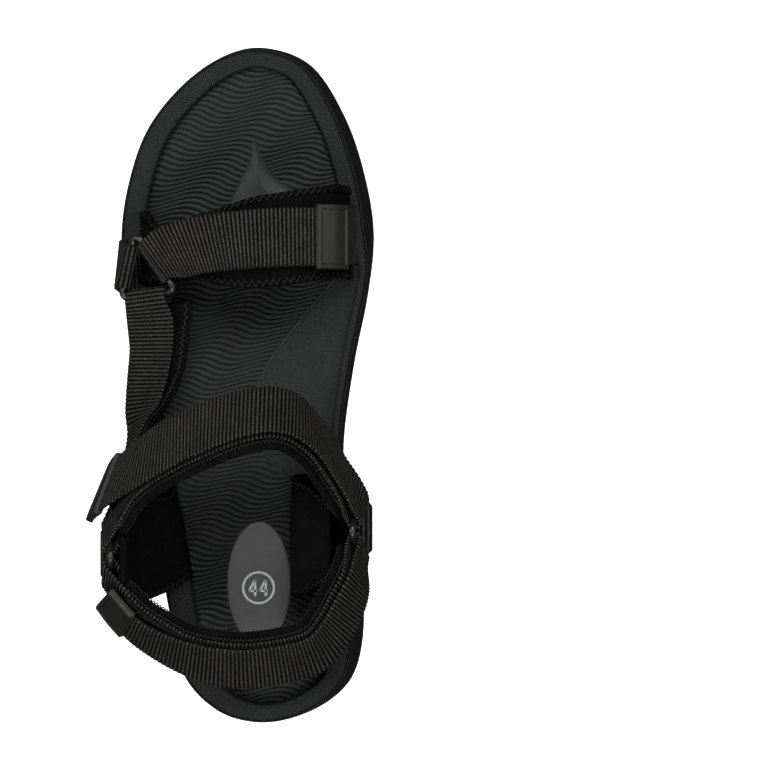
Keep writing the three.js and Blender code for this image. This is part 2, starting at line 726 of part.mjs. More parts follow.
// Its lining, which dips below the turned-back end at the ring.
function sideLining() {
  const { route } = sideRoute();
  const belowTail = 2 * FOLD_RADIUS + GAP;
  const depth = (s) => -PAD_DROP - 2 * GAP - belowTail * (1 - smooth(4, 18, s));
  const frames = moved(stretch(route, 7, routeLength(route) - 2), depth);
  return strip(frames, { width: 31, thickness: PAD, shift: -3 });
}

function innerQuarterLining() {
  const rise = stations([
    [[32, -66, 37.5], [0, 1, 0]],
    [[26, -66.3, 41.3], [0, 1, 0]],
    [[21, -66.8, 46], [0, 1, 0]],
    [[22, -67, 52], [0, 1, 0]],
    [[29, -67, 57.5], [0, 1, 0]],
    [[36.8, -67, 62.5], [0, 1, 0]],
  ]);
  const route = routeFrames([...slotStations(SLOTS.innerAnkle, LINING_INSET), ...rise]);
  return strip(stretch(route, 0, routeLength(route), 4), { width: 38, thickness: PAD });
}

function outerQuarterLining() {
  const rise = stations([
    [[-34.5, -70.4, 39.5], [0, -1, 0]],
    [[-42, -72, 45], [0, -1, 0]],
    [[-47, -73.5, 50.5], [0, -1, 0]],
    [[-48.2, -74.5, 55.5], [0, -1, 0]],
  ]);
  const route = routeFrames([...slotStations(SLOTS.outerAnkle, LINING_INSET), ...rise]);
  return strip(stretch(route, 0, routeLength(route), 4), { width: 38, thickness: PAD });
}

function forefootAnchor() {
  const bar = barFrame(RINGS.forefoot[2], RINGS.forefoot[0], [-55, 51, 28]);
  const bulge = [
    [[-57.2, 52.6, 32.4], [0.12, 0.95, 0.28]],
    [[-53, 51.8, 29.4], [0, 1, 0.05]],
  ];
  return anchor(bar, bulge, slotDown(SLOTS.outerBall, STRAP_INSET, 5), 1);
}

function innerAnchor() {
  const bar = barFrame(RINGS.medial[1], RINGS.medial[2], [49, -62, 38]);
  const bulge = [
    [[52, -62, 45], [0, -1, 0]],
    [[46.5, -62.5, 39], [0, -1, 0]],
    [[39.5, -62.8, 35.8], [0, -1, 0]],
  ];
  return anchor(bar, bulge, slotDown(SLOTS.innerAnkle, STRAP_INSET, 3));
}

function outerAnchor() {
  const bar = barFrame(RINGS.lateral[2], RINGS.lateral[1], [-50, -71, 36]);
  const bulge = [
    [[-56, -72.4, 45], [0, 1, 0]],
    [[-46, -71.8, 40.5], [0, 1, 0]],
    [[-37, -71, 36], [0, 1, 0]],
  ];
  return anchor(bar, bulge, slotDown(SLOTS.outerAnkle, STRAP_INSET));
}

// ---------------------------------------------------------------- materials and assembly

const material = (color, roughness) => new THREE.MeshStandardMaterial({ color, roughness, metalness: 0 });

const MATERIALS = {
  rubber: material(0x1b1b1c, 0.75),
  foam: material(0x242526, 0.7),
  footbed: material(0x2d2f2f, 0.6),
  webbing: material(0x262625, 0.85),
  padding: material(0x1a1a1b, 0.95),
  patch: material(0x111112, 1),
  plastic: material(0x202021, 0.35),
  tab: material(0x2e2e2d, 0.5),
};

const sandal = new THREE.Group();

function add(name, geometry, slot) {
  const mesh = new THREE.Mesh(geometry, MATERIALS[slot]);
  mesh.name = name;
  sandal.add(mesh);
}

add('outsole', outsoleGeometry(), 'rubber');
add('midsole', midsoleGeometry(), 'foam');
add('footbed', footbedGeometry(), 'footbed');

add('forefoot_ring', ringGeometry(RINGS.forefoot), 'plastic');
add('inner_ankle_ring', ringGeometry(RINGS.medial), 'plastic');
add('outer_ankle_ring', ringGeometry(RINGS.lateral), 'plastic');

const hinges = [];
for (const name of Object.keys(STRAPS)) {
  const plan = strapPlan(name);
  add(`${name}_strap_base`, strapBase(plan), 'webbing');
  add(`${name}_loop_patch`, loopPatch(plan), 'patch');
  add(`${name}_flap`, flapWebbing(plan), 'webbing');
  add(`${name}_flap_tip`, tipWebbing(plan), 'webbing');
  add(`${name}_hook_patch`, hookPatch(plan), 'patch');
  add(`${name}_tab`, pullTab(plan), 'tab');
  for (const [joint, s] of [['peel', HINGE_GAP / 2], ['tip_lift', plan.tipStart]]) {
    const frame = frameAt(plan.flap, s);
    hinges.push({ name: `${name}_${joint}`, point: along(frame.c, frame.n, WEB / 2), axis: frame.w });
  }
  if (name === 'forefoot') add('forefoot_pad', forefootPad(), 'padding');
  else add(`${name}_pad`, anklePad(plan, name === 'heel' ? 1 : -1), 'padding');
}

add('forefoot_anchor', forefootAnchor(), 'webbing');
add('inner_ankle_anchor', innerAnchor(), 'webbing');
add('outer_ankle_anchor', outerAnchor(), 'webbing');
add('side_strap', sideStrap(), 'webbing');
add('side_strap_lining', sideLining(), 'padding');
add('inner_quarter_lining', innerQuarterLining(), 'padding');
add('outer_quarter_lining', outerQuarterLining(), 'padding');

// The origin is the middle of the sandal's box, on the ground. Each hinge line is kept with the model.
const box = new THREE.Box3().setFromObject(sandal);
const middle = box.getCenter(new THREE.Vector3());
sandal.position.set(-middle.x, -middle.y, -box.min.z);
sandal.userData.hinges = hinges.map((hinge) => ({ ...hinge, point: hinge.point.add(sandal.position) }));

export default sandal;
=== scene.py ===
"""Looks of the strappy sport sandal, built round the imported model.

Shapes are worked out in millimetres in the sandal's own design frame, the one in which the strap routes are
written, and moved to the row frame (metres) when a mesh is made.
"""

import math

import bpy
import numpy as np
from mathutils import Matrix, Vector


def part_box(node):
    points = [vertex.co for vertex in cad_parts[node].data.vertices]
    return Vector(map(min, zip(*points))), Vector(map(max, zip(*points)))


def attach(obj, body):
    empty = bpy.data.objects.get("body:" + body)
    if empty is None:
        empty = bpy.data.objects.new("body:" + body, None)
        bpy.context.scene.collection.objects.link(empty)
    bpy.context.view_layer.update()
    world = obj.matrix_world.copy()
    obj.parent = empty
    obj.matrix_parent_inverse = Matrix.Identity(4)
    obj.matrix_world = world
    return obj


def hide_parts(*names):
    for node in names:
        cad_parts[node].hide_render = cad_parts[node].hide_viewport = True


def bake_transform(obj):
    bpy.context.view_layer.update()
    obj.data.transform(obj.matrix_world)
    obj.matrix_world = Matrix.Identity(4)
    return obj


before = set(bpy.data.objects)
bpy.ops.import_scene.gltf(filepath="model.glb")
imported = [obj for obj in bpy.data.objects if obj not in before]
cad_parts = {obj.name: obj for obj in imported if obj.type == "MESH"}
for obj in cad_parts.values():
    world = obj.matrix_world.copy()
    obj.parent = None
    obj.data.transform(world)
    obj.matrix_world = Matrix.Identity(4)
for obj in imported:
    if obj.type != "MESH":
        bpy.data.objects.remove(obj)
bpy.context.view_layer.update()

MM = 0.001

# ---------------- driving dimensions, as in the CAD model

WEB_WIDTH = 25.0
WEB_BUNCHED = 20.0
WEB = 1.4
PAD = 3.2
PATCH = 0.7
GAP = 0.3
BUNCH_LENGTH = 12.0
BAR_RADIUS = 1.5
RING_CORNER = 2.5
FOLD_RADIUS = BAR_RADIUS + GAP + WEB / 2
HOOK_OFFSET = -(WEB / 2 + GAP + PATCH / 2)
LOOP_OFFSET = HOOK_OFFSET - PATCH - GAP
BASE_OFFSET = LOOP_OFFSET - PATCH / 2 - GAP - WEB / 2
PAD_DROP = WEB / 2 + GAP + PAD / 2
TAB_LENGTH = 16.0
TAB_SIDE = 1.4
TAB_OVER = 1.1
TAB_UNDER = 0.65
PAD_BEYOND = 6.7
PAD_MARGIN = 3.5
SEWN_TAIL = 4.0
OUTSOLE = 5.0
CUP_INSET = 7.2
FOOTBED_DEPTH = 9.0
SLOT_FLOOR = 8.0
STRAP_INSET = CUP_INSET + 1.2
LINING_INSET = STRAP_INSET + PAD_DROP + 0.6

# Details that only the looks have.
RIB_PITCH = 1.76  # ribs across the webbing
RIB_HEIGHT = 0.42
RIB_SAMPLES = 6  # mesh rows on each rib
WAVE_PITCH = 2.18  # ridges of the footbed
WAVE_HEIGHT = 0.8
WAVE_SWING = 1.7  # how far a ridge swings to and fro
WAVE_LENGTH = 32.0
WAVE_SLANT = 0.85  # how far the swing moves across for each millimetre along the foot
OUTLINE_STEPS = 220  # outline points along each side of the sole
CURVE_STEPS = 16


# ---------------- curves

def vec(*p):
    return np.array(p, float)


def unit(v):
    return v / np.linalg.norm(v, axis=-1, keepdims=True)


def smooth(a, b, x):
    t = np.clip((np.asarray(x, float) - a) / (b - a), 0, 1)
    return t * t * (3 - 2 * t)


def catmull(p0, p1, p2, p3, t):
    square = 2 * p0 - 5 * p1 + 4 * p2 - p3
    cube = 3 * p1 - p0 - 3 * p2 + p3
    return 0.5 * (2 * p1 + (p2 - p0) * t + square * t**2 + cube * t**3)


def open_curve(points, steps=CURVE_STEPS):
    """Points along an open curve through the given points."""
    points = np.asarray(points, float)
    padded = np.vstack([2 * points[0] - points[1], points, 2 * points[-1] - points[-2]])
    t = (np.arange(steps) / steps)[:, None]
    parts = [catmull(*padded[i:i + 4], t) for i in range(len(points) - 1)]
    return np.vstack([*parts, points[-1:]])


def distances(curve):
    """Distance along a curve to each of its points."""
    return np.concatenate([[0], np.cumsum(np.linalg.norm(np.diff(curve, axis=0), axis=1))])


def between_rows(s, known, rows):
    """Rows at the distances s, from the rows at known distances."""
    return np.stack([np.interp(s, known, rows[:, k]) for k in range(rows.shape[1])], axis=1)


def evenly(curve, steps):
    """The same curve as equal chords."""
    reach = distances(curve)
    return between_rows(np.linspace(0, reach[-1], steps + 1), reach, curve)


# ---------------- sole outline and heights

HEEL_TIP = [3.5, -149.9]
TOE_TIP = [6.7, 149.5]
INNER_SIDE = [
    [22, -147.6], [38.6, -138.4], [47.5, -125.5], [50.6, -104], [47.9, -82], [43.4, -54], [41.5, -26.5],
    [46.1, 8.9], [52.3, 40], [55, 66.5], [51.4, 91.8], [42.6, 118.4], [27.5, 141.5],
]
OUTER_SIDE = [
    [-14.5, -144], [-29.3, -127.7], [-35.5, -100.7], [-41.2, -68.7], [-46.8, -40], [-51.6, 0], [-55.9, 37.7],
    [-57.4, 65.6], [-54.1, 89.6], [-45.7, 113.1], [-30.5, 132.5], [-12, 145.8],
]


def sole_outline():
    """Outline points and outward directions, from the heel up the inner side, back down the outer."""
    loop = np.array([HEEL_TIP, *INNER_SIDE, TOE_TIP, *reversed(OUTER_SIDE)], float)
    fine = 10
    t = (np.arange(fine) / fine)[:, None]
    around = [catmull(*(loop[(i + k) % len(loop)] for k in (-1, 0, 1, 2)), t) for i in range(len(loop))]
    curve = np.vstack(around)
    toe = (len(INNER_SIDE) + 1) * fine
    inner = evenly(curve[:toe + 1], OUTLINE_STEPS)
    outer = evenly(np.vstack([curve[toe:], curve[:1]]), OUTLINE_STEPS)
    points = np.vstack([inner[:-1], outer[:-1]])
    run = unit(np.roll(points, -1, axis=0) - np.roll(points, 1, axis=0))
    return points, np.stack([run[:, 1], -run[:, 0]], axis=1)


OUTLINE, OUTWARD = sole_outline()

# The design frame's place in the row frame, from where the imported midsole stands.
low_corner = np.array(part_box("midsole")[0]) / MM
SHIFT = vec(low_corner[0] - OUTLINE[:, 0].min(), low_corner[1] - OUTLINE[:, 1].min(), 0)


def ground_side(y):
    return 12.15 * smooth(72, 168, y) ** 1.2 + 3 * smooth(128, 160, -np.asarray(y))


def lip_height(y):
    return 33 - 7 * smooth(-60, 55, y) + 4.5 * smooth(80, 150, y)


def floor_height(y):
    return lip_height(y) - 5 + 2 * smooth(-60, 50, y)


def sole_ring(inset, height):
    """One ring of the sole; `inset` is a number or one for each outline point, `height` gives z for y."""
    p = OUTLINE - OUTWARD * np.reshape(inset, (-1, 1))
    return np.column_stack([p, height(p[:, 1])])


def inner_ring(inset, fraction, height):
    p = sole_ring(inset, height)
    x = 1 + (p[:, 0] - 1) * fraction
    y = np.clip(p[:, 1], -115, 110) * (1 - fraction) + p[:, 1] * fraction
    return np.column_stack([x, y, height(y)])


# How far in from the outline the knurled rim begins and ends. It is wide at the outer side and narrow along
# the arch, and the inner side shows more of the side wall.
facing_in = np.clip(OUTWARD[:, 0], 0, 1) ** 1.5
facing_out = np.clip(-OUTWARD[:, 0], 0, 1)
at_arch = smooth(-78, -48, OUTLINE[:, 1]) * (1 - smooth(48, 72, OUTLINE[:, 1]))
RIM_START = 2.8 - 1.0 * facing_out + facing_in * (2.6 - 3.2 * at_arch)
RIM_END = 9.8 + facing_in * (3.0 - 7.6 * at_arch) + facing_out * (1.0 + 1.4 * smooth(0, 60, -OUTLINE[:, 1]))


# ---------------- routes of the webbing

class Frames:
    """Places along a strap: centre c, width direction w, outward direction n and distance s."""

    def __init__(self, c, w, n, s):
        self.c, self.w, self.n, self.s = c, w, n, s

    def point(self, u, v):
        """Points at u across and v outward, each a number or one for each place."""
        return self.c + self.w * np.reshape(u, (-1, 1)) + self.n * np.reshape(v, (-1, 1))

    def moved(self, v):
        return Frames(self.point(0, v), self.w, self.n, self.s)


class Route:
    """A smooth centre line through stations, each a place and a width direction."""

    def __init__(self, stations):
        self.c = open_curve([c for c, w in stations])
        self.w = unit(open_curve([w for c, w in stations]))
        self.s = distances(self.c)
        ahead = np.vstack([self.c[1:], self.c[-1:]])
        behind = np.vstack([self.c[:1], self.c[:-1]])
        self.n = unit(np.cross(self.w, unit(ahead - behind)))
        self.length = self.s[-1]

    def at(self, s):
        s = np.atleast_1d(np.asarray(s, float))
        c, w, n = (between_rows(s, self.s, rows) for rows in (self.c, self.w, self.n))
        return Frames(c, unit(w), unit(n), s)

    def stretch(self, start, end, step):
        count = max(2, round(abs(end - start) / step))
        return self.at(np.linspace(start, end, count + 1))


def joined(*parts):
    """Several runs of frames as one, their distances following on."""
    c = np.vstack([p.c for p in parts])
    return Frames(c, np.vstack([p.w for p in parts]), np.vstack([p.n for p in parts]), distances(c))


def bunched(s):
    return WEB_BUNCHED + (WEB_WIDTH - WEB_BUNCHED) * smooth(0, BUNCH_LENGTH, s)


# The corners of the rings' centre lines.
RINGS = {
    "forefoot": [vec(-48.8, 66.6, 43.6), vec(-30.4, 40.6, 47), vec(-56.2, 37.8, 32)],
    "inner_ankle": [vec(45.6, -61.7, 80.2), vec(51.4, -45.6, 53.4), vec(51.4, -77.8, 53.4)],
    "outer_ankle": [vec(-55.8, -72.7, 78.8), vec(-59.8, -56.6, 51.8), vec(-59.8, -88.8, 51.8)],
}


class Bar:
    """The straight side of a ring that webbing folds round, with the webbing leaving towards `target`."""

    def __init__(self, start, end, target):
        self.c = (start + end) / 2
        self.w = unit(end - start)
        t = np.asarray(target, float) - self.c
        self.t = unit(t - self.w * (t @ self.w))
        self.n = unit(np.cross(self.w, self.t))

    def station(self, side, ahead=0.0):
        """A station of the webbing beside the bar, `ahead` along its run."""
        return self.c + self.n * side * FOLD_RADIUS + self.t * ahead, self.w

    def half_turn(self, side, tail=0.0, flip=1):
        """Frames of the half turn round the bar, and back along the run for `tail`. `flip` turns n over."""
        angle = np.linspace(0, math.pi, 15)[1:, None]
        out = self.n * side * np.cos(angle) - self.t * np.sin(angle)
        c = self.c + out * FOLD_RADIUS
        n = out * side * flip
        if tail:
            reach = np.arange(0.3, tail, 0.3)[:, None]
            c = np.vstack([c, c[-1] + self.t * reach])
            n = np.vstack([n, np.repeat(n[-1:], len(reach), axis=0)])
        w = np.repeat(self.w[None], len(c), axis=0)
        return Frames(c, w, n, np.zeros(len(c)))


def reversed_frames(f):
    return Frames(f.c[::-1], f.w[::-1], f.n[::-1], f.s[::-1])


def stations(rows):
    """Stations from rows of a place and a width direction."""
    return [(vec(*c), unit(vec(*w))) for c, w in rows]


# Each slot's side, 1 for the inner one, and its place along the foot.
SLOTS = {
    "inner_ball": (1, 67.0),
    "outer_ball": (-1, 57.0),
    "inner_ankle": (1, -66.0),
    "outer_ankle": (-1, -69.0),
}


def slot_edge(side, y):
    """The place on the outline beside a slot, with the directions outward and along the edge."""
    on_side = np.flatnonzero(OUTWARD[:, 0] * side > 0.5)
    order = on_side[np.argsort(OUTLINE[on_side, 1])]
    point = vec(np.interp(y, OUTLINE[order, 1], OUTLINE[order, 0]), y, 0)
    out = unit(vec(*(np.interp(y, OUTLINE[order, 1], OUTWARD[order, k]) for k in (0, 1)), 0))
    return point, out, vec(-out[1], out[0], 0)


def slot_stations(name, inset, shift=0.0):
    """Stations for a strap that comes up out of a slot, `shift` along the edge."""
    side, y = SLOTS[name]
    point, out, run = slot_edge(side, y)
    bottom, top = SLOT_FLOOR + 2, lip_height(y) + 0.5
    base = point - out * inset + run * shift
    return [(vec(base[0], base[1], z), run) for z in (bottom, (bottom + top) / 2, top)]


def slot_down(name, inset, shift=0.0):
    """The same stations for a strap that goes down into the slot."""
    return [(c, -w) for c, w in reversed(slot_stations(name, inset, shift))]


# Each row is a place and a width direction. `shared` rows belong to the flap, and the base runs below them.
STRAPS = {
    "forefoot": {
        "ring": (RINGS["forefoot"][0], RINGS["forefoot"][1]),
        "shared": [
            [[-21, 60, 57.5], [0.32, -0.94, 0.1]],
            [[0, 62.7, 62.5], [0.08, -0.98, 0.18]],
            [[19, 63.6, 62], [0.02, -1, 0.08]],
            [[36, 63.8, 56], [0, -1, 0]],
        ],
        "flap_end": [[[43.4, 63.8, 49.6], [0, -1, 0]]],
        "base_end": [
            [[42, 64.4, 44.5], [0, -1, 0]],
            [[45.8, 65.4, 34], [0, -1, 0]],
        ],
        "tip_length": 36.0,
        "far_bar": None,
    },
    "instep": {
        "ring": (RINGS["inner_ankle"][0], RINGS["inner_ankle"][1]),
        "shared": [
            [[43.5, -39.5, 72], [-0.02, 0.64, -0.77]],
            [[36.5, -27.5, 76.5], [-0.06, 0.74, -0.67]],
            [[30.6, -19.5, 81.5], [-0.08, 0.72, -0.69]],
            [[22.5, -12.5, 87.5], [0, 0.73, -0.68]],
            [[12, -10, 92], [0, 0.74, -0.66]],
            [[-1, -12, 91.5], [0, 0.79, -0.61]],
            [[-14, -16.5, 88.5], [0, 0.83, -0.55]],
            [[-27, -22, 83], [-0.02, 0.86, -0.5]],
        ],
        "flap_end": [
            [[-40, -29.5, 76.5], [0.08, 0.9, -0.42]],
            [[-50.5, -36.5, 70.5], [0.22, 0.92, -0.3]],
            [[-57.4, -41.6, 64.5], [0.33, 0.93, -0.15]],
            [[-61, -44.6, 57.5], [0.38, 0.92, -0.05]],
            [[-62.8, -46.4, 49.5], [0.38, 0.92, 0]],
        ],
        "base_end": [
            [[-37.6, -30.6, 73.6], [0.02, 0.86, -0.5]],
            [[-46.5, -38.6, 68.5], [-0.03, 0.76, -0.64]],
            [[-51.8, -48, 66], [-0.05, 0.66, -0.75]],
        ],
        "tip_length": 38.0,
        "far_bar": (RINGS["outer_ankle"][0], RINGS["outer_ankle"][1]),
    },
    "heel": {
        "ring": (RINGS["inner_ankle"][2], RINGS["inner_ankle"][0]),
        "shared": [
            [[48.8, -85, 62.5], [-0.32, 0.42, 0.85]],
            [[44, -96.5, 61.5], [-0.43, 0.4, 0.81]],
            [[38.5, -106.5, 61.5], [-0.4, 0.48, 0.78]],
            [[30, -115.5, 62], [-0.22, 0.64, 0.73]],
            [[16, -119.8, 62], [-0.08, 0.7, 0.71]],
            [[0, -121.8, 62], [0, 0.72, 0.69]],
            [[-14, -120.6, 62], [0.08, 0.7, 0.71]],
            [[-27, -116.6, 62], [0.15, 0.6, 0.78]],
        ],
        "flap_end": [
            [[-38, -111.5, 62], [0.2, 0.5, 0.84]],
            [[-47.3, -105.6, 61.5], [0.24, 0.42, 0.88]],
            [[-54.5, -98.5, 61], [0.28, 0.36, 0.89]],
            [[-60.5, -91, 60.5], [0.3, 0.3, 0.9]],
        ],
        "base_end": [
            [[-35.4, -107, 61.8], [0.2, 0.48, 0.85]],
            [[-44.6, -100.8, 62], [0.24, 0.42, 0.87]],
            [[-51.6, -93.2, 63], [0.2, 0.42, 0.88]],
        ],
        "tip_length": 38.0,
        "far_bar": (RINGS["outer_ankle"][2], RINGS["outer_ankle"][0]),
    },
}


class Plan:
    """The centre lines of a strap's flap and base, each from the ring on, and the bars they meet."""

    def __init__(self, name):
        strap = STRAPS[name]
        shared, flap_end, base_end = (stations(strap[k]) for k in ("shared", "flap_end", "base_end"))
        self.name = name
        self.bar = Bar(*strap["ring"], shared[0][0])
        start = [self.bar.station(1), self.bar.station(1, 4)]
        self.flap = Route([*start, *shared, *flap_end])
        below = []
        for i, (c, w) in enumerate(shared):
            k = (len(start) + i) * CURVE_STEPS
            below.append((self.flap.c[k] + self.flap.n[k] * BASE_OFFSET, self.flap.w[k]))
        self.far_bar = Bar(*strap["far_bar"], base_end[-1][0]) if strap["far_bar"] else None
        far_end = [self.far_bar.station(-1)] if self.far_bar else slot_down("inner_ball", STRAP_INSET)
        self.base = Route([self.bar.station(-1), self.bar.station(-1, 4), *below, *base_end, *far_end])
        self.tip_start = self.flap.length - strap["tip_length"]


# ---------------- meshes

def make_object(name, points, faces, material, web=None, flat=False):
    """A mesh object from points in the design frame. `web` is (across, along, side) per point, in mm."""
    mesh = bpy.data.meshes.new(name)
    mesh.from_pydata(((np.asarray(points) + SHIFT) * MM).tolist(), [], faces)
    mesh.validate()
    if web is not None:
        attribute = mesh.attributes.new("web", "FLOAT_VECTOR", "POINT")
        attribute.data.foreach_set("vector", np.asarray(web, np.float32).ravel())
    mesh.polygons.foreach_set("use_smooth", [not flat] * len(mesh.polygons))
    mesh.materials.append(material)
    obj = bpy.data.objects.new(name, mesh)
    bpy.context.scene.collection.objects.link(obj)
    return obj


def ring_faces(rings, count, closed=False):
    """Quads joining successive rings of `count` points, each ring closed on itself."""
    i = np.arange(count)
    j = (i + 1) % count
    faces = []
    for r in range(rings if closed else rings - 1):
        a, b = r * count, ((r + 1) % rings) * count
        faces += np.column_stack([a + i, b + i, b + j, a + j]).tolist()
    return faces


def capped(rings, count):
    """The same quads of an open run of rings, with a face over each end."""
    first = list(range(count))
    last = [(rings - 1) * count + i for i in reversed(range(count))]
    return [*ring_faces(rings, count), first, last]


def fixed(obj, *nodes):
    """Keeps a piece on the sandal's own body, in place of the CAD nodes it stands for."""
    for node in nodes:
        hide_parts(node)
    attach(obj, "sandal")


def ribbon(name, frames, low, high, bottom, top, material, slot, across=16, edge=8):
    """A closed strip along frames, from `low` to `high` across, with top and bottom heights.

    Heights are numbers or functions of (x, s), x running from -1 to 1 across. `edge` is how square its
    edges are.
    """
    count = len(frames.s)
    x = np.sin(np.linspace(-1, 1, across + 1) * math.pi / 2)
    s = frames.s[:, None]
    low, high = (np.broadcast_to(np.asarray(k, float).reshape(-1, 1), (count, 1)) for k in (low, high))
    u = low + (high - low) * (x[None] + 1) / 2
    round_off = (1 - np.abs(x) ** edge) ** (1 / edge)
    heights = [h(x[None], s) if callable(h) else np.full((1, 1), h) for h in (top, bottom)]
    upper, lower = (np.broadcast_to(h, u.shape) for h in heights)
    middle = (upper + lower) / 2
    upper = middle + (upper - middle) * round_off
    lower = middle + (lower - middle) * round_off
    ring_u = np.hstack([u, u[:, -2:0:-1]])
    ring_v = np.hstack([upper, lower[:, -2:0:-1]])
    across_strip, outward = frames.w[:, None] * ring_u[..., None], frames.n[:, None] * ring_v[..., None]
    points = frames.c[:, None] + across_strip + outward
    size = ring_u.shape[1]
    side = np.where(np.arange(size) <= across, 1.0, -1.0)
    web = np.stack([ring_u, np.broadcast_to(s, ring_u.shape), np.broadcast_to(side, ring_u.shape)], axis=-1)
    return make_object(name, points.reshape(-1, 3), capped(count, size), material, web.reshape(-1, 3))


def rib(s):
    """Height of the webbing's ribs at a distance along it."""
    return RIB_HEIGHT * (np.abs(np.sin(math.pi * s / RIB_PITCH)) ** 0.8 - 0.8)


def webbing(name, frames, width, material, across=14):
    """Ribbed webbing of a width, or of one width for each place."""
    half = np.asarray(width) / 2
    under, over = lambda _, s: -WEB / 2 - rib(s), lambda _, s: WEB / 2 + rib(s)
    return ribbon(name, frames, -half, half, under, over, material, "webbing", across, 10)


def soft_pad(name, frames, low, high, material, puff=0.5, channel=1.8):
    """A soft strip whose crowned faces dip along the stitch line near each edge."""
    low, high = np.broadcast_to(low, frames.s.shape), np.broadcast_to(high, frames.s.shape)
    width = float(np.mean(high - low))

    def crown(x, s):
        line = 1 - 2 * channel / width
        dip = np.exp(-(((np.abs(x) - line) * width / 2) / 0.9) ** 2)
        wobble = 0.12 * np.sin(s / 2.9) * np.sin(s / 7.3 + 3 * x)
        return puff * (1 - x**2) - 0.45 * dip + wobble * (1 - x**2)

    obj = ribbon(
        name, frames, low, high,
        lambda x, s: -PAD / 2 - crown(x, s) * 0.6, lambda x, s: PAD / 2 - 0.15 + crown(x, s) * 0.3,
        material, "padding", 36, 3.2,
    )
    return obj


def loft(name, rings, material, web=None):
    """A closed mesh from rings that run round the sole, its ends capped across from side to side."""
    count = len(rings[0])
    points = np.vstack(rings)
    faces = ring_faces(len(rings), count)
    for first, flip in ((0, False), ((len(rings) - 1) * count, True)):
        for i in range(count // 2):
            quad = [first + i, first + (count - i) % count, first + count - 1 - i, first + i + 1]
            quad = list(dict.fromkeys(quad))
            faces.append(quad[::-1] if flip else quad)
    return make_object(name, points, faces, material, web)


def tube_mesh(path, up, radius, sides, closed):
    """Points and faces of a tube along a path; `up` is a direction, or one for each point."""
    path = np.asarray(path, float)
    if closed:
        run = unit(np.roll(path, -1, axis=0) - np.roll(path, 1, axis=0))
    else:
        run = unit(np.vstack([path[1:], path[-1:]]) - np.vstack([path[:1], path[:-1]]))
    across = unit(np.cross(run, np.broadcast_to(up, path.shape)))
    over = np.cross(across, run)
    angle = np.arange(sides) * 2 * math.pi / sides
    offset = across[:, None] * np.cos(angle)[None, :, None] + over[:, None] * np.sin(angle)[None, :, None]
    points = (path[:, None] + radius * offset).reshape(-1, 3)
    faces = ring_faces(len(path), sides, closed)
    if not closed:
        faces.append(list(range(sides))[::-1])
        faces.append([(len(path) - 1) * sides + i for i in range(sides)])
    return points, faces


def tubes(name, paths, ups, radius, material, sides=6, closed=False):
    """One object of many tubes."""
    points, faces, first = [], [], 0
    for path, up in zip(paths, ups):
        p, f = tube_mesh(path, up, radius, sides, closed)
        points.append(p)
        faces += [[i + first for i in face] for face in f]
        first += len(p)
    return make_object(name, np.vstack(points), faces, material)


def zigzag(name, frames, u, v, swing, pitch, radius=0.3):
    """Zigzag stitching along a strip, at u across and v outward."""
    count = max(4, round(2 * (frames.s[-1] - frames.s[0]) / pitch))
    s = np.linspace(frames.s[0], frames.s[-1], count)
    c, w, n = (between_rows(s, frames.s, rows) for rows in (frames.c, frames.w, frames.n))
    w, n = unit(w), unit(n)
    u, v = (np.interp(s, frames.s, np.broadcast_to(value, frames.s.shape)) for value in (u, v))
    side = swing * np.where(np.arange(count) % 2, 1.0, -1.0)
    path = c + w * (u + side)[:, None] + n * v[:, None]
    fixed(tubes(name, [path], [n], radius, THREAD, 5))


def running_stitch(name, frames, u, v, pitch=2.6, radius=0.22):
    """A row of straight stitches along a strip."""
    paths, ups = [], []
    lift = v + np.array([-0.25, 0.05, 0.15, 0.05, -0.25])
    for start in np.arange(frames.s[0] + 1, frames.s[-1] - pitch, pitch):
        s = start + np.array([0, 0.12, 0.5, 0.88, 1]) * pitch * 0.72
        c, w, n = (between_rows(s, frames.s, rows) for rows in (frames.c, frames.w, frames.n))
        paths.append(c + w * u + n * lift[:, None])
        ups.append(w)
    fixed(tubes(name, paths, ups, radius, THREAD, 5))


# ---------------- materials

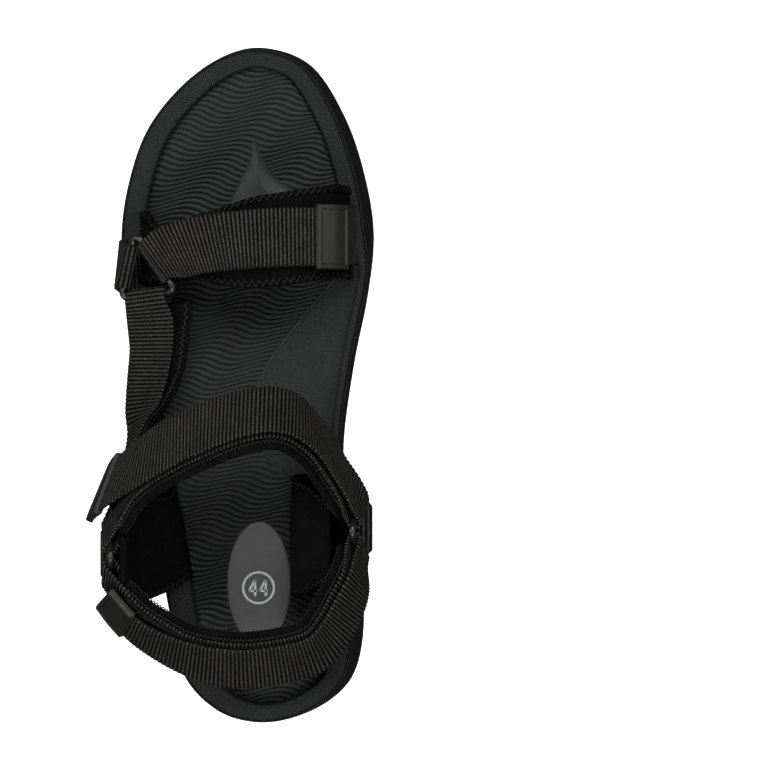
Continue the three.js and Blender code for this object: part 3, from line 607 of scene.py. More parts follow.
class Shader:
    """Short ways to write a material's nodes."""

    def __init__(self, name, colour, roughness, specular=0.3, sheen=0.0, sheen_roughness=0.5):
        self.material = bpy.data.materials.new(name)
        self.material.use_nodes = True
        self.nodes = self.material.node_tree.nodes
        self.links = self.material.node_tree.links
        self.surface = self.nodes["Principled BSDF"]
        self.surface.inputs["Base Color"].default_value = (*colour, 1)
        self.surface.inputs["Roughness"].default_value = roughness
        self.surface.inputs["Specular IOR Level"].default_value = specular
        self.surface.inputs["Sheen Weight"].default_value = sheen
        self.surface.inputs["Sheen Roughness"].default_value = sheen_roughness
        self.coordinates = self.nodes.new("ShaderNodeTexCoord").outputs["Object"]

    def maths(self, operation, *values):
        node = self.nodes.new("ShaderNodeMath")
        node.operation = operation
        for socket, value in zip(node.inputs, values):
            if isinstance(value, (int, float)):
                socket.default_value = value
            else:
                self.links.new(value, socket)
        return node.outputs[0]

    def web(self):
        """A mesh's web coordinates, in millimetres: across and along a strip, and a mark or side."""
        attribute = self.nodes.new("ShaderNodeAttribute")
        attribute.attribute_name = "web"
        return self.split(attribute.outputs["Vector"])

    def split(self, vector):
        node = self.nodes.new("ShaderNodeSeparateXYZ")
        self.links.new(vector, node.inputs[0])
        return node.outputs[0], node.outputs[1], node.outputs[2]

    def noise(self, size, detail=3.0, vector=None):
        """Noise whose grain is about `size` millimetres; `vector` is in metres unless it is given."""
        node = self.nodes.new("ShaderNodeTexNoise")
        node.inputs["Scale"].default_value = 1 / size if vector is not None else 1 / (size * MM)
        node.inputs["Detail"].default_value = detail
        self.links.new(self.coordinates if vector is None else vector, node.inputs["Vector"])
        return node.outputs[0]

    def wave(self, value, period):
        """0 to 1 and back for each period of a value."""
        turned = self.maths("SINE", self.maths("MULTIPLY", value, 2 * math.pi / period))
        return self.maths("MULTIPLY_ADD", turned, 0.5, 0.5)

    def tint(self, factor, dark, light):
        """Base colour from dark to light with a factor."""
        ramp = self.nodes.new("ShaderNodeValToRGB")
        ramp.color_ramp.elements[0].color = (*dark, 1)
        ramp.color_ramp.elements[1].color = (*light, 1)
        self.links.new(factor, ramp.inputs[0])
        self.links.new(ramp.outputs[0], self.surface.inputs["Base Color"])

    def roughen(self, factor, low, high):
        self.links.new(
            self.maths("MULTIPLY_ADD", factor, high - low, low), self.surface.inputs["Roughness"]
        )

    def bump(self, height, depth):
        """Bump of `depth` millimetres; calls add up."""
        node = self.nodes.new("ShaderNodeBump")
        node.inputs["Strength"].default_value = 1.0
        node.inputs["Distance"].default_value = depth * MM
        self.links.new(height, node.inputs["Height"])
        before = self.surface.inputs["Normal"].links
        if before:
            self.links.new(before[0].from_socket, node.inputs["Normal"])
        self.links.new(node.outputs[0], self.surface.inputs["Normal"])


def grey(value):
    """An even grey."""
    return value, value, value


def warm(value):
    """A grey with a little less blue."""
    return value, value, 0.87 * value


def cool(value):
    """A grey a little towards green."""
    return 0.92 * value, value, 0.98 * value


def webbing_material():
    shader = Shader("webbing", grey(0.02), 0.75, 0.06)
    across, along, _ = shader.web()
    row = shader.maths("FLOOR", shader.maths("DIVIDE", along, RIB_PITCH))
    thread = shader.wave(shader.maths("MULTIPLY_ADD", row, 0.45, across), 0.9)
    # Painted shade: the base colour darkens towards each groove between the ribs, where shade falls, over
    # the ribs' real relief.
    turn = shader.maths("MULTIPLY", along, math.pi / RIB_PITCH)
    groove = shader.maths("ABSOLUTE", shader.maths("SINE", turn))
    crown = shader.maths("POWER", groove, 2.6)
    shade = shader.maths("MULTIPLY", crown, shader.maths("MULTIPLY_ADD", thread, 0.5, 0.5))
    fibres = shader.maths("MULTIPLY_ADD", shader.noise(0.7, 4), 1.6, -0.1)
    wear = shader.maths("MULTIPLY_ADD", shader.noise(9, 4), 0.9, 0.6)
    factor = shader.maths("MULTIPLY", shade, shader.maths("MULTIPLY", fibres, wear))
    shader.tint(factor, grey(0.0004), warm(0.08))
    shader.bump(thread, 0.2)
    shader.bump(shader.noise(0.35, 2), 0.1)
    return shader.material


def padding_material():
    shader = Shader("padding", grey(0.005), 0.95, 0.03)
    fuzz = shader.noise(0.5, 4)
    factor = shader.maths("MULTIPLY", fuzz, shader.maths("MULTIPLY_ADD", shader.noise(7, 3), 0.8, 0.6))
    shader.tint(factor, grey(0.0006), grey(0.0075))
    shader.bump(fuzz, 0.4)
    shader.bump(shader.noise(2.2, 2), 0.25)
    return shader.material


def patch_material(name, pitch, depth):
    """Hook or loop tape: rows of small tufts."""
    shader = Shader(name, grey(0.01), 1.0, 0.05, 0.03)
    across, along, _ = shader.web()
    tufts = shader.maths("MULTIPLY", shader.wave(across, pitch), shader.wave(along, pitch))
    shader.tint(tufts, grey(0.003), grey(0.02))
    shader.bump(tufts, depth)
    shader.bump(shader.noise(0.4, 3), depth / 2)
    return shader.material


def foam_material(name, dark, light, roughness, specular):
    """Satin moulded foam with a fine grain."""
    shader = Shader(name, light, roughness, specular)
    shader.tint(shader.noise(6, 4), dark, light)
    shader.roughen(shader.noise(3, 3), roughness - 0.08, roughness + 0.08)
    shader.bump(shader.noise(0.3, 2), 0.035)
    return shader


def footbed_material():
    """Fine grain. The third web coordinate is 1 in the arch panel and below 0 in the grooves."""
    shader = foam_material("footbed_waves", cool(0.012), cool(0.016), 0.5, 0.14)
    x, y, mark = shader.web()
    arch = shader.maths("MAXIMUM", mark, 0)
    # Painted shade: where the mark goes below 0, in the grooves between the wave ridges, the tint darkens,
    # where shade falls.
    open_part = shader.maths("ADD", shader.maths("MINIMUM", mark, 0), 1)
    ridge = shader.maths("MULTIPLY", shader.maths("POWER", open_part, 1.6), 0.55)
    # Painted sheen: the smooth arch panel is tinted lighter than the ridge tops, standing in for light
    # reflected off it.
    shader.tint(shader.maths("MULTIPLY_ADD", arch, 0.45, ridge), grey(0.0004), cool(0.044))
    fold = shader.maths("PINGPONG", x, 1.4)
    chevron = shader.wave(shader.maths("ADD", y, fold), 0.9)
    shader.bump(shader.maths("MULTIPLY", chevron, arch), 0.6)
    return shader.material


def knurl_material(name, dark, light, pitch, depth):
    """Moulded foam with a diagonal knurl, laid out along the edge by the web coordinates."""
    shader = foam_material(name, dark, light, 0.62, 0.3)
    across, along, _ = shader.web()
    one = shader.wave(shader.maths("ADD", across, along), pitch)
    other = shader.wave(shader.maths("SUBTRACT", across, along), pitch)
    shader.bump(shader.maths("MULTIPLY", one, other), depth)
    return shader.material


def plastic_material():
    shader = Shader("ring_plastic", grey(0.012), 0.28, 0.5)
    shader.tint(shader.noise(4, 2), grey(0.009), grey(0.016))
    shader.roughen(shader.noise(1.5, 3), 0.2, 0.36)
    shader.bump(shader.noise(0.6, 2), 0.02)
    return shader.material


def tab_material():
    shader = Shader("tab_rubber", grey(0.03), 0.5, 0.4)
    shader.tint(shader.noise(3, 4), warm(0.008), warm(0.013))
    shader.roughen(shader.noise(1.2, 3), 0.45, 0.62)
    shader.bump(shader.noise(0.35, 3), 0.05)
    return shader.material


def rubber_material():
    shader = Shader("outsole_rubber", grey(0.012), 0.75, 0.3)
    shader.tint(shader.noise(8, 4), grey(0.009), grey(0.015))
    shader.bump(shader.noise(0.6, 3), 0.08)
    return shader.material


def thread_material():
    shader = Shader("thread", grey(0.012), 0.5, 0.25)
    shader.tint(shader.noise(0.8, 2), grey(0.003), grey(0.012))
    shader.bump(shader.noise(0.25, 2), 0.05)
    return shader.material


def oval_material():
    # Painted sheen: the oval's base colour is set far lighter than the footbed's foam, standing in for the
    # light its satin face reflects.
    shader = Shader("heel_oval", grey(0.06), 0.42, 0.5)
    shader.tint(shader.noise(5, 5), grey(0.09), grey(0.12))
    shader.roughen(shader.noise(2, 3), 0.36, 0.46)
    shader.bump(shader.noise(0.3, 2), 0.015)
    return shader.material


def print_material():
    shader = Shader("size_print", (0.75, 0.76, 0.78), 0.6, 0.3)
    shader.tint(shader.noise(0.5, 2), (0.62, 0.63, 0.65), (0.8, 0.81, 0.83))
    return shader.material


WEBBING = webbing_material()
PADDING = padding_material()
LOOP_TAPE = patch_material("loop_tape", 0.8, 0.3)
HOOK_TAPE = patch_material("hook_tape", 1.1, 0.5)
WAVES = footbed_material()
RIM = knurl_material("footbed_rim", cool(0.008), cool(0.015), 1.5, 0.45)
SIDEWALL = knurl_material("midsole_wall", grey(0.003), grey(0.007), 2.0, 0.2)
SMOOTH_FOAM = foam_material("smooth_foam", cool(0.019), cool(0.026), 0.48, 0.25).material
PLASTIC = plastic_material()
TAB = tab_material()
RUBBER = rubber_material()
THREAD = thread_material()
OVAL = oval_material()
PRINT = print_material()


# ---------------- sole

def around():
    """Distance from the heel tip along the nearer side to each point of the outline."""
    step = np.linalg.norm(np.roll(OUTLINE, -1, axis=0) - OUTLINE, axis=1)
    reach = np.concatenate([[0], np.cumsum(step)[:-1]])
    return np.minimum(reach, step.sum() - reach)


def outsole():
    """The outsole keeps its CAD shape, with its tread, and takes a rubber look."""
    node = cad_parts["outsole"]
    node.data.materials.clear()
    node.data.materials.append(RUBBER)


def midsole():
    """The side wall with two grooves round it, the lip, and the cup that holds the footbed."""
    base = lambda y: ground_side(y) + OUTSOLE + GAP
    between = lambda share: lambda y: base(y) + 10 + (lip_height(y) - base(y) - 11) * share
    floor = lambda y: lip_height(y) - FOOTBED_DEPTH - GAP
    lip = RIM_START - 0.8
    wall = lambda share: 0.9 + (lip - 0.9) * share**1.2
    groove = 0.7
    profile = [(14, base), (1.2, base), (0.5, lambda y: base(y) + 0.6), (0.1, lambda y: base(y) + 2)]
    profile += [(0, lambda y: base(y) + 4), (0.4, lambda y: base(y) + 7)]
    for share in (0.1, 0.5):
        profile += [(wall(share), between(share)), (wall(share) + groove, between(share + 0.04))]
        profile += [(wall(share) + groove, between(share + 0.1)), (wall(share), between(share + 0.14))]
    profile += [(wall(0.85), between(0.85)), (lip - 0.2, lambda y: lip_height(y) - 1.3)]
    profile += [(lip, lambda y: lip_height(y) - 0.7), (lip + 0.35, lambda y: lip_height(y) - 0.35)]
    profile += [(RIM_START - 0.2, lambda y: lip_height(y) - 0.5), (RIM_START - 0.1, floor), (16, floor)]
    rings = [inner_ring(14, 0.35, base)]
    rings += [sole_ring(inset, height) for inset, height in profile]
    rings.append(inner_ring(16, 0.35, floor))
    reach = around()
    web = []
    for ring in rings:
        web.append(np.column_stack([ring[:, 2], reach, np.ones(len(reach))]))
    fixed(loft("midsole_foam", rings, SIDEWALL, np.vstack(web)), "midsole")


def footbed_body():
    """The footbed's knurled rim and the floor below the waves."""
    bottom = lambda y: lip_height(y) - FOOTBED_DEPTH
    floor = lambda y: floor_height(y) - 2.7
    width = RIM_END - RIM_START
    profile = [(16, bottom), (RIM_START, bottom), (RIM_START, lambda y: lip_height(y) - 0.9)]
    rise = [(0.02, -0.3), (0.06, 0.1), (0.14, 0.5), (0.28, 0.8)]
    rise += [(0.5, 0.9), (0.8, 0.75), (0.93, 0.6), (0.97, 0.2)]
    rings = [inner_ring(16, 0.35, bottom)]
    rings += [sole_ring(inset, height) for inset, height in profile]
    rings += [sole_ring(RIM_START + width * k, lambda y, h=h: lip_height(y) + h) for k, h in rise]
    rings += [sole_ring(RIM_END, lambda y: lip_height(y) - 1.4), sole_ring(RIM_END + 0.3, floor)]
    rings += [sole_ring(17, floor), inner_ring(17, 0.35, floor)]
    reach = around()
    web = []
    for ring in rings:
        inset = np.linalg.norm(ring[:, :2] - OUTLINE, axis=1)
        web.append(np.column_stack([inset, reach, np.ones(len(reach))]))
    fixed(loft("footbed_rim", rings, RIM, np.vstack(web)), "footbed")


# The edge of the smooth arch panel, from the forefoot back along the arch.
ARCH_EDGE = open_curve(
    [[46, 60], [36.1, 45.4], [22.5, 28.6], [10.5, 13], [3.1, -1.3], [2, -14], [6, -28], [17, -41], [36, -52]]
)
OVAL_CENTRE = vec(4.4, -87.2)
OVAL_HALF = vec(14, 27)


def arch_mask(x, y):
    """1 inside the arch panel, 0 outside it."""
    order = np.argsort(ARCH_EDGE[:, 1])
    edge = np.interp(y, ARCH_EDGE[order, 1], ARCH_EDGE[order, 0])
    return smooth(-0.4, 0.6, x - edge) * smooth(-52, -50, y) * (1 - smooth(58, 60, y))


def oval_distance(x, y):
    return np.hypot((x - OVAL_CENTRE[0]) / OVAL_HALF[0], (y - OVAL_CENTRE[1]) / OVAL_HALF[1])


def ridges(x, y):
    """1 on the ridges and 0 in the grooves between them, which swing to and fro across the foot."""
    swing = WAVE_SWING * np.cos(2 * math.pi * (x - WAVE_SLANT * y) / WAVE_LENGTH)
    swing += 0.5 * np.sin(x / 9.0 + y / 21.0)
    return np.abs(np.sin(math.pi * (y - swing) / WAVE_PITCH))


def wave_zone():
    """The wavy walking surface, one grid from heel to toe, on a thin closed slab."""
    edge = sole_ring(RIM_END - 0.5, floor_height)
    half = len(edge) // 2
    inner, outer = edge[:half + 1], np.vstack([edge[half:], edge[:1]])
    rows, columns = 1080, 84
    y = np.linspace(edge[:, 1].min() + 0.15, edge[:, 1].max() - 0.15, rows)
    limit = lambda side: np.interp(y, *side[np.argsort(side[:, 1])][:, [1, 0]].T)
    right, left = limit(inner), limit(outer)
    k = np.linspace(-1, 1, columns)
    x = (left + right)[:, None] / 2 + (right - left)[:, None] / 2 * k[None]
    yy = np.broadcast_to(y[:, None], x.shape)
    arch = arch_mask(x, yy)
    calm = 1 - smooth(0.97, 1.02, 2 - oval_distance(x, yy))
    rim_gap = np.minimum(x - left[:, None], right[:, None] - x)
    level = floor_height(yy) - 0.9 * (1 - smooth(0.3, 1.6, rim_gap))
    wavy = (1 - arch) * calm
    ridge = ridges(x, yy)
    z = level + WAVE_HEIGHT * (ridge**0.5 - 0.6) * wavy + 0.25 * arch
    top = np.stack([x, yy, z], axis=-1).reshape(-1, 3)
    rim = [*range(columns), *range(2 * columns - 1, rows * columns, columns)]
    rim += [*range(rows * columns - 2, (rows - 1) * columns - 1, -1)]
    rim += [*range((rows - 2) * columns, 0, -columns)]
    under = top[rim] - vec(0, 0, 2.2)
    i, j = np.meshgrid(np.arange(rows - 1), np.arange(columns - 1), indexing="ij")
    corner = (i * columns + j).ravel()
    faces = np.column_stack([corner, corner + 1, corner + columns + 1, corner + columns]).tolist()
    first, count = len(top), len(rim)
    for a in range(count):
        b = (a + 1) % count
        faces.append([rim[b], rim[a], first + a, first + b])
    faces.append([first + a for a in range(count)][::-1])
    # The mark carries painted light for the footbed's tint: below 0 in the grooves for painted shade, 1 in
    # the arch panel for a painted sheen.
    mark = arch - (1 - ridge) * wavy
    web = np.stack([x, yy, mark], axis=-1).reshape(-1, 3)
    web = np.vstack([web, web[rim]])
    fixed(make_object("footbed_wave_surface", np.vstack([top, under]), faces, WAVES, web))


def arch_bead():
    """The raised line round the arch panel."""
    curve = ARCH_EDGE[(ARCH_EDGE[:, 1] > -50) & (ARCH_EDGE[:, 0] < 43)]
    path = np.column_stack([curve, floor_height(curve[:, 1]) + 0.15])
    fixed(tubes("arch_bead", [path], [vec(0, 0, 1)], 0.65, SMOOTH_FOAM, 10))


# The two edges of the toe crest, from its point back.
CREST_LEFT = [[1.6, 109.8], [0, 100.4], [-3.2, 93.4], [-6, 87.5], [-10, 80.5], [-18, 71]]
CREST_RIGHT = [[1.9, 109.8], [6.2, 100.4], [10.5, 93.4], [18.2, 87.6], [30, 81.5], [42, 74]]


def toe_crest():
    """A smooth ridge between the toes, narrow in front and flaring towards the ball of the foot."""
    left, right = open_curve(CREST_LEFT, 10), open_curve(CREST_RIGHT, 10)
    rows, columns = len(left), 33
    k = np.linspace(0, 1, rows)
    u = np.linspace(-1, 1, columns)
    edges = [side[:, None, :] for side in (left, right)]
    flat = edges[0] + (edges[1] - edges[0]) * ((u + 1) / 2)[None, :, None]
    x, y = flat[..., 0], flat[..., 1]
    height = 0.5 + 2.9 * np.sin(np.clip(k * 2.2, 0, 1) * math.pi / 2) ** 1.1
    hump = 0.55 * (1 - np.abs(u[None])) ** 1.4 + 0.45 * (1 - np.abs(u[None]) ** 4)
    z = floor_height(y) - 0.35 + height[:, None] * hump
    top = np.stack([x, y, z], axis=-1)
    low = np.stack([x, y, floor_height(y) - 2.4], axis=-1)
    ring = np.concatenate([top, low[:, ::-1]], axis=1)
    size = ring.shape[1]
    obj = make_object("toe_crest", ring.reshape(-1, 3), capped(rows, size), SMOOTH_FOAM)
    fixed(obj)


def heel_oval():
    """The smooth oval under the heel, a thin crowned plate."""
    sides, share = 96, np.array([0.02, 0.3, 0.6, 0.85, 0.95, 0.985, 1.0, 1.0])
    drop = np.array([0.35, 0.34, 0.3, 0.24, 0.18, 0.08, -0.1, -1.6])
    angle = np.arange(sides) * 2 * math.pi / sides
    x = OVAL_CENTRE[0] + OVAL_HALF[0] * share[:, None] * np.cos(angle)
    y = OVAL_CENTRE[1] + OVAL_HALF[1] * share[:, None] * np.sin(angle)
    points = np.stack([x, y, floor_height(y) + drop[:, None]], axis=-1).reshape(-1, 3)
    fixed(make_object("heel_oval", points, capped(len(share), sides), OVAL))


def size_mark():
    """A plain ring with a generic size number, printed on the heel oval."""
    centre = vec(4.2, -89.4)
    level = floor_height(centre[1]) + 0.42
    sides, radius, stroke = 64, 6.8, 0.55
    angle = np.arange(sides) * 2 * math.pi / sides
    profile = [(-stroke, -0.1), (-stroke, 0.04), (stroke, 0.04), (stroke, -0.1)]
    rings = []
    for inset, z in profile:
        x = centre[0] + (radius + inset) * np.cos(angle)
        y = centre[1] + (radius + inset) * np.sin(angle)
        rings.append(np.stack([x, y, np.full(sides, level + z)], axis=-1))
    faces = ring_faces(len(rings), sides, True)
    fixed(make_object("size_ring", np.vstack(rings), faces, PRINT))
    bars = []
    for side in (-1, 1):
        x, y = centre + vec(side * 2.35, 0)
        corner = (x - 1.75, y - 1.3)
        bars.append(((x + 0.85, y - 3.5), (x + 0.85, y + 3.6)))
        bars.append((corner, (x + 1.75, y - 1.3)))
        bars.append((corner, (x + 0.7, y + 3.5)))
    points, faces = [], []
    for a, b in bars:
        a, b = vec(*a), vec(*b)
        run = unit(b - a)
        wide = vec(-run[1], run[0]) * 0.5
        for z in (level - 0.1, level + 0.04):
            for p in (a - wide, b - wide, b + wide, a + wide):
                points.append([*p, z])
        k = len(points) - 8
        faces += [[k + 3, k + 2, k + 1, k], [k + 4, k + 5, k + 6, k + 7]]
        faces += [[k + i, k + (i + 1) % 4, k + 4 + (i + 1) % 4, k + 4 + i] for i in range(4)]
    fixed(make_object("size_digits", points, faces, PRINT, flat=True))


# ---------------- rings

def wire_ring(name, corners):
    """A triangle of wire with rounded corners."""
    path = []
    for i, corner in enumerate(corners):
        before, after = unit(corners[i - 1] - corner), unit(corners[(i + 1) % 3] - corner)
        centre = corner + unit(before + after) * 2 * RING_CORNER
        first = corner + before * RING_CORNER * math.sqrt(3) - centre
        last = corner + after * RING_CORNER * math.sqrt(3) - centre
        sweep = 2 * math.pi / 3
        for k in np.linspace(0, 1, 11):
            reach = first * math.sin(sweep * (1 - k)) + last * math.sin(sweep * k)
            path.append(centre + reach / math.sin(sweep))
        following = corners[(i + 1) % 3]
        end = following + unit(corner - following) * RING_CORNER * math.sqrt(3)
        start = path[-1]
        path += [start + (end - start) * k for k in (0.2, 0.4, 0.6, 0.8)]
    up = np.cross(corners[1] - corners[0], corners[2] - corners[0])
    obj = tubes(f"{name}_wire", [path], [unit(up)], BAR_RADIUS, PLASTIC, 16, True)
    fixed(obj, f"{name}_ring")


# ---------------- straps that close over the foot

ROW_STEP = RIB_PITCH / RIB_SAMPLES


def to_row(point):
    """A point of the design frame in the row frame."""
    return tuple((np.asarray(point, float) + SHIFT) * MM)


def strap_base(plan):
    """The webbing below the flap, from its far end to its turn round the ring."""
    base = plan.base
    run = base.stretch(base.length, 0, ROW_STEP)
    ends = np.minimum(run.s, base.length - run.s) if plan.far_bar else run.s
    spans = [bunched(ends)]
    parts = [run]
    if plan.far_bar:
        sewn = reversed_frames(plan.far_bar.half_turn(-1, SEWN_TAIL, -1))
        parts.insert(0, sewn)
        spans.insert(0, np.full(len(sewn.s), WEB_BUNCHED))
    turn = plan.bar.half_turn(-1)
    parts.append(turn)
    spans.append(np.full(len(turn.s), WEB_BUNCHED))
    obj = webbing(f"{plan.name}_base_webbing", joined(*parts), np.concatenate(spans), WEBBING)
    fixed(obj, f"{plan.name}_strap_base")


def tapes(plan):
    """The loop tape on the base and the hook tape under the flap's tip."""
    end = min(plan.flap.length, plan.base.length - 14)
    loop_run = plan.base.stretch(plan.tip_start - 18, end - 1, 0.8).moved(WEB / 2 + GAP + PATCH / 2)
    half = WEB_WIDTH / 2 - 1
    tape = (-half, half, -PATCH / 2, PATCH / 2)
    loop = ribbon(f"{plan.name}_loop_tape", loop_run, *tape, LOOP_TAPE, "patch", 12)
    fixed(loop, f"{plan.name}_loop_patch")
    hook_end = plan.flap.length - TAB_LENGTH - 0.5
    hook_run = plan.flap.stretch(plan.tip_start + 1, hook_end, 0.8).moved(HOOK_OFFSET)
    hook = ribbon(f"{plan.name}_hook_tape", hook_run, *tape, HOOK_TAPE, "patch", 12)
    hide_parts(f"{plan.name}_hook_patch")
    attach(hook, f"{plan.name}_tip")


def flap(plan):
    """The flap in two lengths, one from the ring on, the other from a little before where the hook tape
    begins.
    """
    seam = RIB_PITCH * math.floor((plan.tip_start - 4) / RIB_PITCH)
    near = plan.flap.stretch(0, seam, ROW_STEP)
    far = plan.flap.stretch(seam, plan.flap.length - 2, ROW_STEP)
    first = webbing(f"{plan.name}_flap_webbing", near, bunched(near.s), WEBBING)
    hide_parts(f"{plan.name}_flap")
    fold = plan.flap.at([0, 7])
    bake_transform(first)
    second = webbing(f"{plan.name}_tip_webbing", far, WEB_WIDTH, WEBBING)
    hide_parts(f"{plan.name}_flap_tip")
    fold = plan.flap.at([plan.tip_start - 0.3, plan.tip_start + 5])
    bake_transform(second)


def pull_tab(plan):
    """A moulded tab with a raised border round a recessed panel."""
    end = plan.flap.length
    start = end - TAB_LENGTH
    run = plan.flap.stretch(start, end, 0.25)
    half = WEB_WIDTH / 2 + TAB_SIDE
    border = 1.9

    def top(x, s):
        gap = np.minimum(half * (1 - np.abs(x)), np.minimum(s - start, end - s))
        round_end = 1 - (1 - smooth(0, 0.9, np.minimum(s - start, end - s))) ** 2
        return WEB / 2 + 0.3 + TAB_OVER * round_end - 0.75 * smooth(border, border + 0.4, gap)

    bottom = -WEB / 2 - 0.3 - TAB_UNDER
    obj = ribbon(f"{plan.name}_pull_tab", run, -half, half, bottom, top, TAB, "tab", 60, 9)
    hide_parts(f"{plan.name}_tab")
    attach(obj, f"{plan.name}_tip")


def ankle_pad(plan, opening_side):
    """The soft pad under an ankle strap, with zigzag stitching along both edges of the webbing."""
    base, start, sewn_end = plan.base, 4, 11
    run = base.stretch(start, base.length - sewn_end, 1.0).moved(-PAD_DROP)
    grow = smooth(start, 18, np.minimum(run.s, base.length - run.s))
    beyond = WEB_BUNCHED / 2 + PAD_BEYOND * grow
    margin = WEB_BUNCHED / 2 + PAD_MARGIN * grow
    low, high = (-margin, beyond) if opening_side > 0 else (-beyond, margin)
    obj = soft_pad(f"{plan.name}_soft_pad", run, low, high, PADDING)
    fixed(obj, f"{plan.name}_pad")
    lift = PAD / 2 + 0.1
    lines = [
        ("opening", beyond - 3.2, lift, 0.9),
        ("edge", 0.8 - margin, lift, 0.5),
        ("inside", beyond - 1.8, -lift, 0.8),
    ]
    for label, u, v, swing in lines:
        zigzag(f"{plan.name}_{label}_zigzag", run, opening_side * u, v, swing, 1.9, 0.36)


def hung_webbing(name, node, route, bar, tail):
    """Webbing along a route that turns round a ring's bar and is sewn back for `tail`."""
    run = route.stretch(route.length, 0, ROW_STEP)
    turn = bar.half_turn(1, tail)
    spans = np.concatenate([bunched(run.s), np.full(len(turn.s), WEB_BUNCHED)])
    fixed(webbing(name, joined(run, turn), spans, WEBBING), node)


def anchor(name, bar, below_ring, slot, tail=SEWN_TAIL):
    """A short webbing from a ring down into a slot of the sole."""
    route = Route([bar.station(1), *stations(below_ring), *slot])
    hung_webbing(f"{name}_anchor_webbing", f"{name}_anchor", route, bar, tail)


# ---------------- pads and linings

def forefoot_pad():
    """The pad over the ball of the foot, from slot to slot, with its zigzag stitching."""
    across = stations([
        [[-46.3, 57.3, 28], [0, -1, 0]],
        [[-43.3, 57.8, 33.5], [0.06, -0.99, -0.12]],
        [[-37, 58.6, 38], [0.1, -0.96, -0.24]],
        [[-30, 59, 42], [0.1, -0.96, -0.24]],
        [[-21, 59.4, 48.4], [0.12, -0.98, -0.1]],
        [[-9, 59.8, 53], [0.08, -0.98, 0.1]],
        [[7, 61.8, 55.8], [0.05, -0.98, 0.17]],
        [[27, 64.8, 52], [0, -1, 0.08]],
        [[36.6, 66.4, 45.6], [0, -1, 0]],
        [[41.8, 67, 35], [0, -1, 0]],
    ])
    start = slot_stations("outer_ball", LINING_INSET)
    route = Route([*start, *across, *slot_down("inner_ball", LINING_INSET)])
    run = route.stretch(0, route.length, 1.0)
    half = (26 + 15 * smooth(0.28, 0.55, run.s / route.length)) / 2
    x = run.c[:, 0]
    front = half + 6 * (1 - smooth(-44, -37, x)) - 2.6 * smooth(-42, -36, x) * (1 - smooth(-30, -20, x))
    obj = soft_pad("forefoot_soft_pad", run, -front, half, PADDING)
    fixed(obj, "forefoot_pad")
    for label, line in (("front", 1.9 - front), ("rear", half - 1.9)):
        zigzag(f"forefoot_{label}_zigzag", run, line, PAD / 2 + 0.1, 1.3, 3.0, 0.5)
        zigzag(f"forefoot_{label}_under_zigzag", run, line, -PAD / 2 - 0.25, 1.1, 2.4, 0.3)


SIDE_STRAP = [
    [[-42.6, 28, 40.5], [-0.84, -0.03, -0.54]],
    [[-42, 17, 41.5], [-0.8, 0, -0.6]],
    [[-43.6, 2.2, 44.5], [-0.74, 0, -0.67]],
    [[-45.6, -10, 47.5], [-0.62, -0.1, -0.77]],
    [[-47, -18, 50], [-0.42, -0.36, -0.83]],
    [[-50.5, -29.5, 53.5], [-0.3, -0.46, -0.84]],
]


def side_strap():
    """The strap along the outer side and its lining, with rows of stitching."""
    bar = Bar(RINGS["forefoot"][1], RINGS["forefoot"][2], SIDE_STRAP[0][0])
    route = Route([bar.station(1), bar.station(1, 4), *stations(SIDE_STRAP)])
    hung_webbing("side_strap_webbing", "side_strap", route, bar, SEWN_TAIL)
    below_tail = 2 * FOLD_RADIUS + GAP
    lining_run = route.stretch(7, route.length - 4, 1.0)
    depth = -PAD_DROP - 2 * GAP - below_tail * (1 - smooth(4, 18, lining_run.s))
    lining_run = lining_run.moved(depth)
    inner_edge = -18.5 + 5 * smooth(30, 62, lining_run.s)
    lining = soft_pad("side_strap_soft_lining", lining_run, inner_edge, 12.5, PADDING)
    fixed(lining, "side_strap_lining")
    zigzag("side_lining_zigzag", lining_run, inner_edge + 1.9, PAD / 2 + 0.1, 0.9, 2.2, 0.36)
    sewn = route.stretch(2, route.length - 1, 1.0)
    running_stitch("side_strap_stitching", sewn, 1.6 - WEB_WIDTH / 2, WEB / 2 + 0.22)


def quarter_lining(name, slot, rise, spans):
    """A lining beside the ankle. `spans` are rows of share of its length, low edge and high edge."""
    route = Route([*slot_stations(slot, LINING_INSET), *stations(rise)])
    run = route.stretch(0, route.length, 1.0)
    k, low, high = np.array(spans, float).T
    low, high = (np.interp(run.s / route.length, k, edge) for edge in (low, high))
    obj = soft_pad(f"{name}_soft_lining", run, low, high, PADDING)
    fixed(obj, f"{name}_lining")
    for label, line in (("low", low + 1.9), ("high", high - 1.9)):
        for face, lift in (("inner", -PAD / 2 - 0.2), ("outer", PAD / 2 + 0.1)):
            zigzag(f"{name}_{label}_{face}_zigzag", run, line, lift, 0.9, 2.2, 0.34)


def linings():
    quarter_lining("inner_quarter", "inner_ankle", [
        [[32, -66, 37.5], [0, 1, 0]],
        [[26, -66.3, 41.3], [0, 1, 0]],
        [[21, -66.8, 46], [0, 1, 0]],
        [[22, -67, 52], [0, 1, 0]],
        [[29, -67, 57.5], [0, 1, 0]],
        [[36.8, -67, 62.5], [0, 1, 0]],
    ], [[0, -19, 19], [0.25, -20, 22], [0.5, -25, 28], [0.7, -25, 28], [0.85, -22, 24], [1, -17, 17]])
    quarter_lining("outer_quarter", "outer_ankle", [
        [[-34.5, -70.4, 39.5], [0, -1, 0]],
        [[-42, -72, 45], [0, -1, 0]],
        [[-47.4, -73.5, 50.5], [0, -1, 0]],
        [[-50.6, -74, 57], [0, -1, 0]],
        [[-52, -73.8, 66], [0, -1, 0]],
        [[-50.8, -73.2, 75.5], [0, -1, 0]],
    ], [[0, -22, 17], [0.3, -24, 18], [0.55, -24, 21], [0.7, -20, 19], [0.85, -14, 15], [1, -9, 10]])


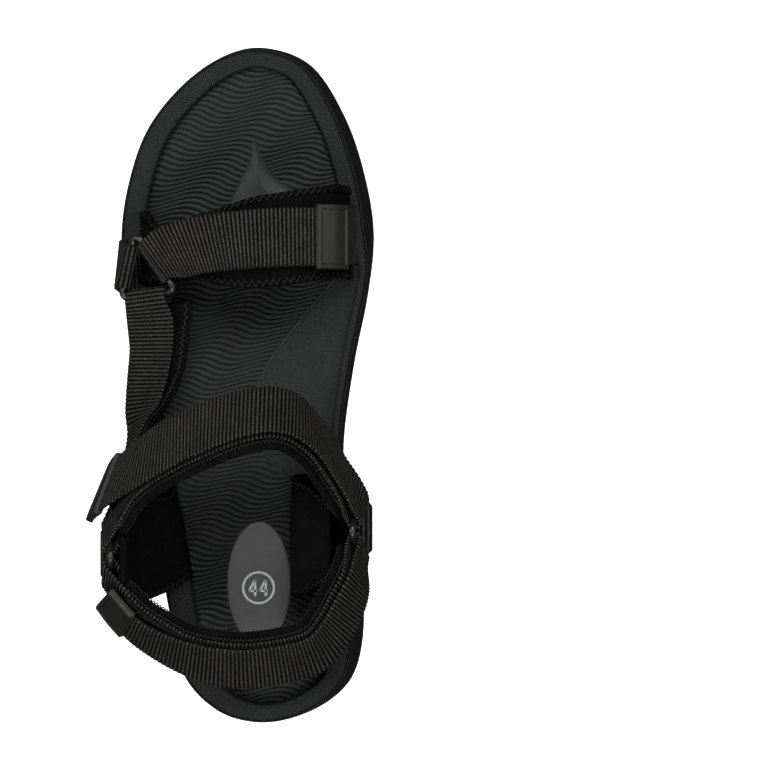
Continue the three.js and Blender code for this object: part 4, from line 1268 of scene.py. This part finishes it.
def anchors():
    ring = RINGS["forefoot"]
    anchor("forefoot", Bar(ring[2], ring[0], [-55, 51, 28]), [
        [[-57.2, 52.6, 32.4], [0.12, 0.95, 0.28]],
        [[-53, 51.8, 29.4], [0, 1, 0.05]],
    ], slot_down("outer_ball", STRAP_INSET, 5), 1.0)
    ring = RINGS["inner_ankle"]
    anchor("inner_ankle", Bar(ring[1], ring[2], [49, -62, 38]), [
        [[52, -62, 45], [0, -1, 0]],
        [[46.5, -62.5, 39], [0, -1, 0]],
        [[39.5, -62.8, 35.8], [0, -1, 0]],
    ], slot_down("inner_ankle", STRAP_INSET, 3))
    ring = RINGS["outer_ankle"]
    anchor("outer_ankle", Bar(ring[2], ring[1], [-50, -71, 36]), [
        [[-56, -72.4, 45], [0, 1, 0]],
        [[-46, -71.8, 40.5], [0, 1, 0]],
        [[-37, -71, 36], [0, 1, 0]],
    ], slot_down("outer_ankle", STRAP_INSET))


# ---------------- scene

def studio_floor():
    """A white floor that lights nothing itself."""
    floor = bpy.data.meshes.new("floor")
    reach = 6.0
    corners = [(-reach, -reach, 0), (reach, -reach, 0), (reach, reach, 0), (-reach, reach, 0)]
    floor.from_pydata(corners, [], [[0, 1, 2, 3]])
    shader = Shader("floor_paint", (0.93, 0.93, 0.93), 0.9, 0.1)
    shader.tint(shader.noise(400, 2), (0.92, 0.92, 0.92), (0.94, 0.94, 0.94))
    shader.surface.inputs["Emission Color"].default_value = (1, 1, 1, 1)
    shader.surface.inputs["Emission Strength"].default_value = 1.0
    floor.materials.append(shader.material)
    floor_object = bpy.data.objects.new("floor", floor)
    bpy.context.scene.collection.objects.link(floor_object)
    floor_object.location.z = -0.0005
    floor_object.visible_diffuse = False
    floor_object.visible_glossy = False


def studio_lights():
    """Soft round lights about the object, aimed at it, in a dim white world."""
    lights = [
        ("toe_light", (0.15, 0.9, 1.45), 1.0, 20),
        ("left_light", (-1.4, 0.0, 1.1), 0.9, 13),
        ("right_light", (1.3, 0.0, 1.4), 0.9, 8),
        ("heel_light", (0.0, -1.2, 1.3), 0.9, 15),
    ]
    for name, place, size, power in lights:
        data = bpy.data.lights.new(name, "AREA")
        data.shape = "DISK"
        data.size = size
        data.energy = power
        light = bpy.data.objects.new(name, data)
        light.location = place
        light.rotation_euler = (-light.location).to_track_quat("-Z", "Y").to_euler()
        bpy.context.scene.collection.objects.link(light)
    world = bpy.data.worlds.new("studio")
    world.use_nodes = True
    world.node_tree.nodes["Background"].inputs["Color"].default_value = (1, 1, 1, 1)
    world.node_tree.nodes["Background"].inputs["Strength"].default_value = 0.05
    bpy.context.scene.world = world


def studio_camera():
    """The camera straight above, to the right of the sandal."""
    camera_height = 1220 * MM
    field = 339.3 * MM  # width seen 20 mm above the floor
    data = bpy.data.cameras.new("camera")
    data.sensor_width = 36
    data.lens = 36 * (camera_height - 20 * MM) / field
    camera = bpy.data.objects.new("camera", data)
    camera.location = (*to_row((58.8, 1.1, 0))[:2], camera_height)
    bpy.context.scene.collection.objects.link(camera)
    bpy.context.scene.camera = camera
    bpy.context.scene.view_settings.view_transform = "Standard"


def build():
    """Every piece of the sandal, then its surroundings."""
    outsole()
    midsole()
    footbed_body()
    wave_zone()
    arch_bead()
    toe_crest()
    heel_oval()
    size_mark()
    for name, corners in RINGS.items():
        wire_ring(name, corners)
    for name in STRAPS:
        plan = Plan(name)
        strap_base(plan)
        tapes(plan)
        flap(plan)
        pull_tab(plan)
        if name != "forefoot":
            ankle_pad(plan, 1 if name == "heel" else -1)
    forefoot_pad()
    side_strap()
    linings()
    anchors()
    studio_floor()
    studio_lights()
    studio_camera()


build()
bpy.context.view_layer.update()
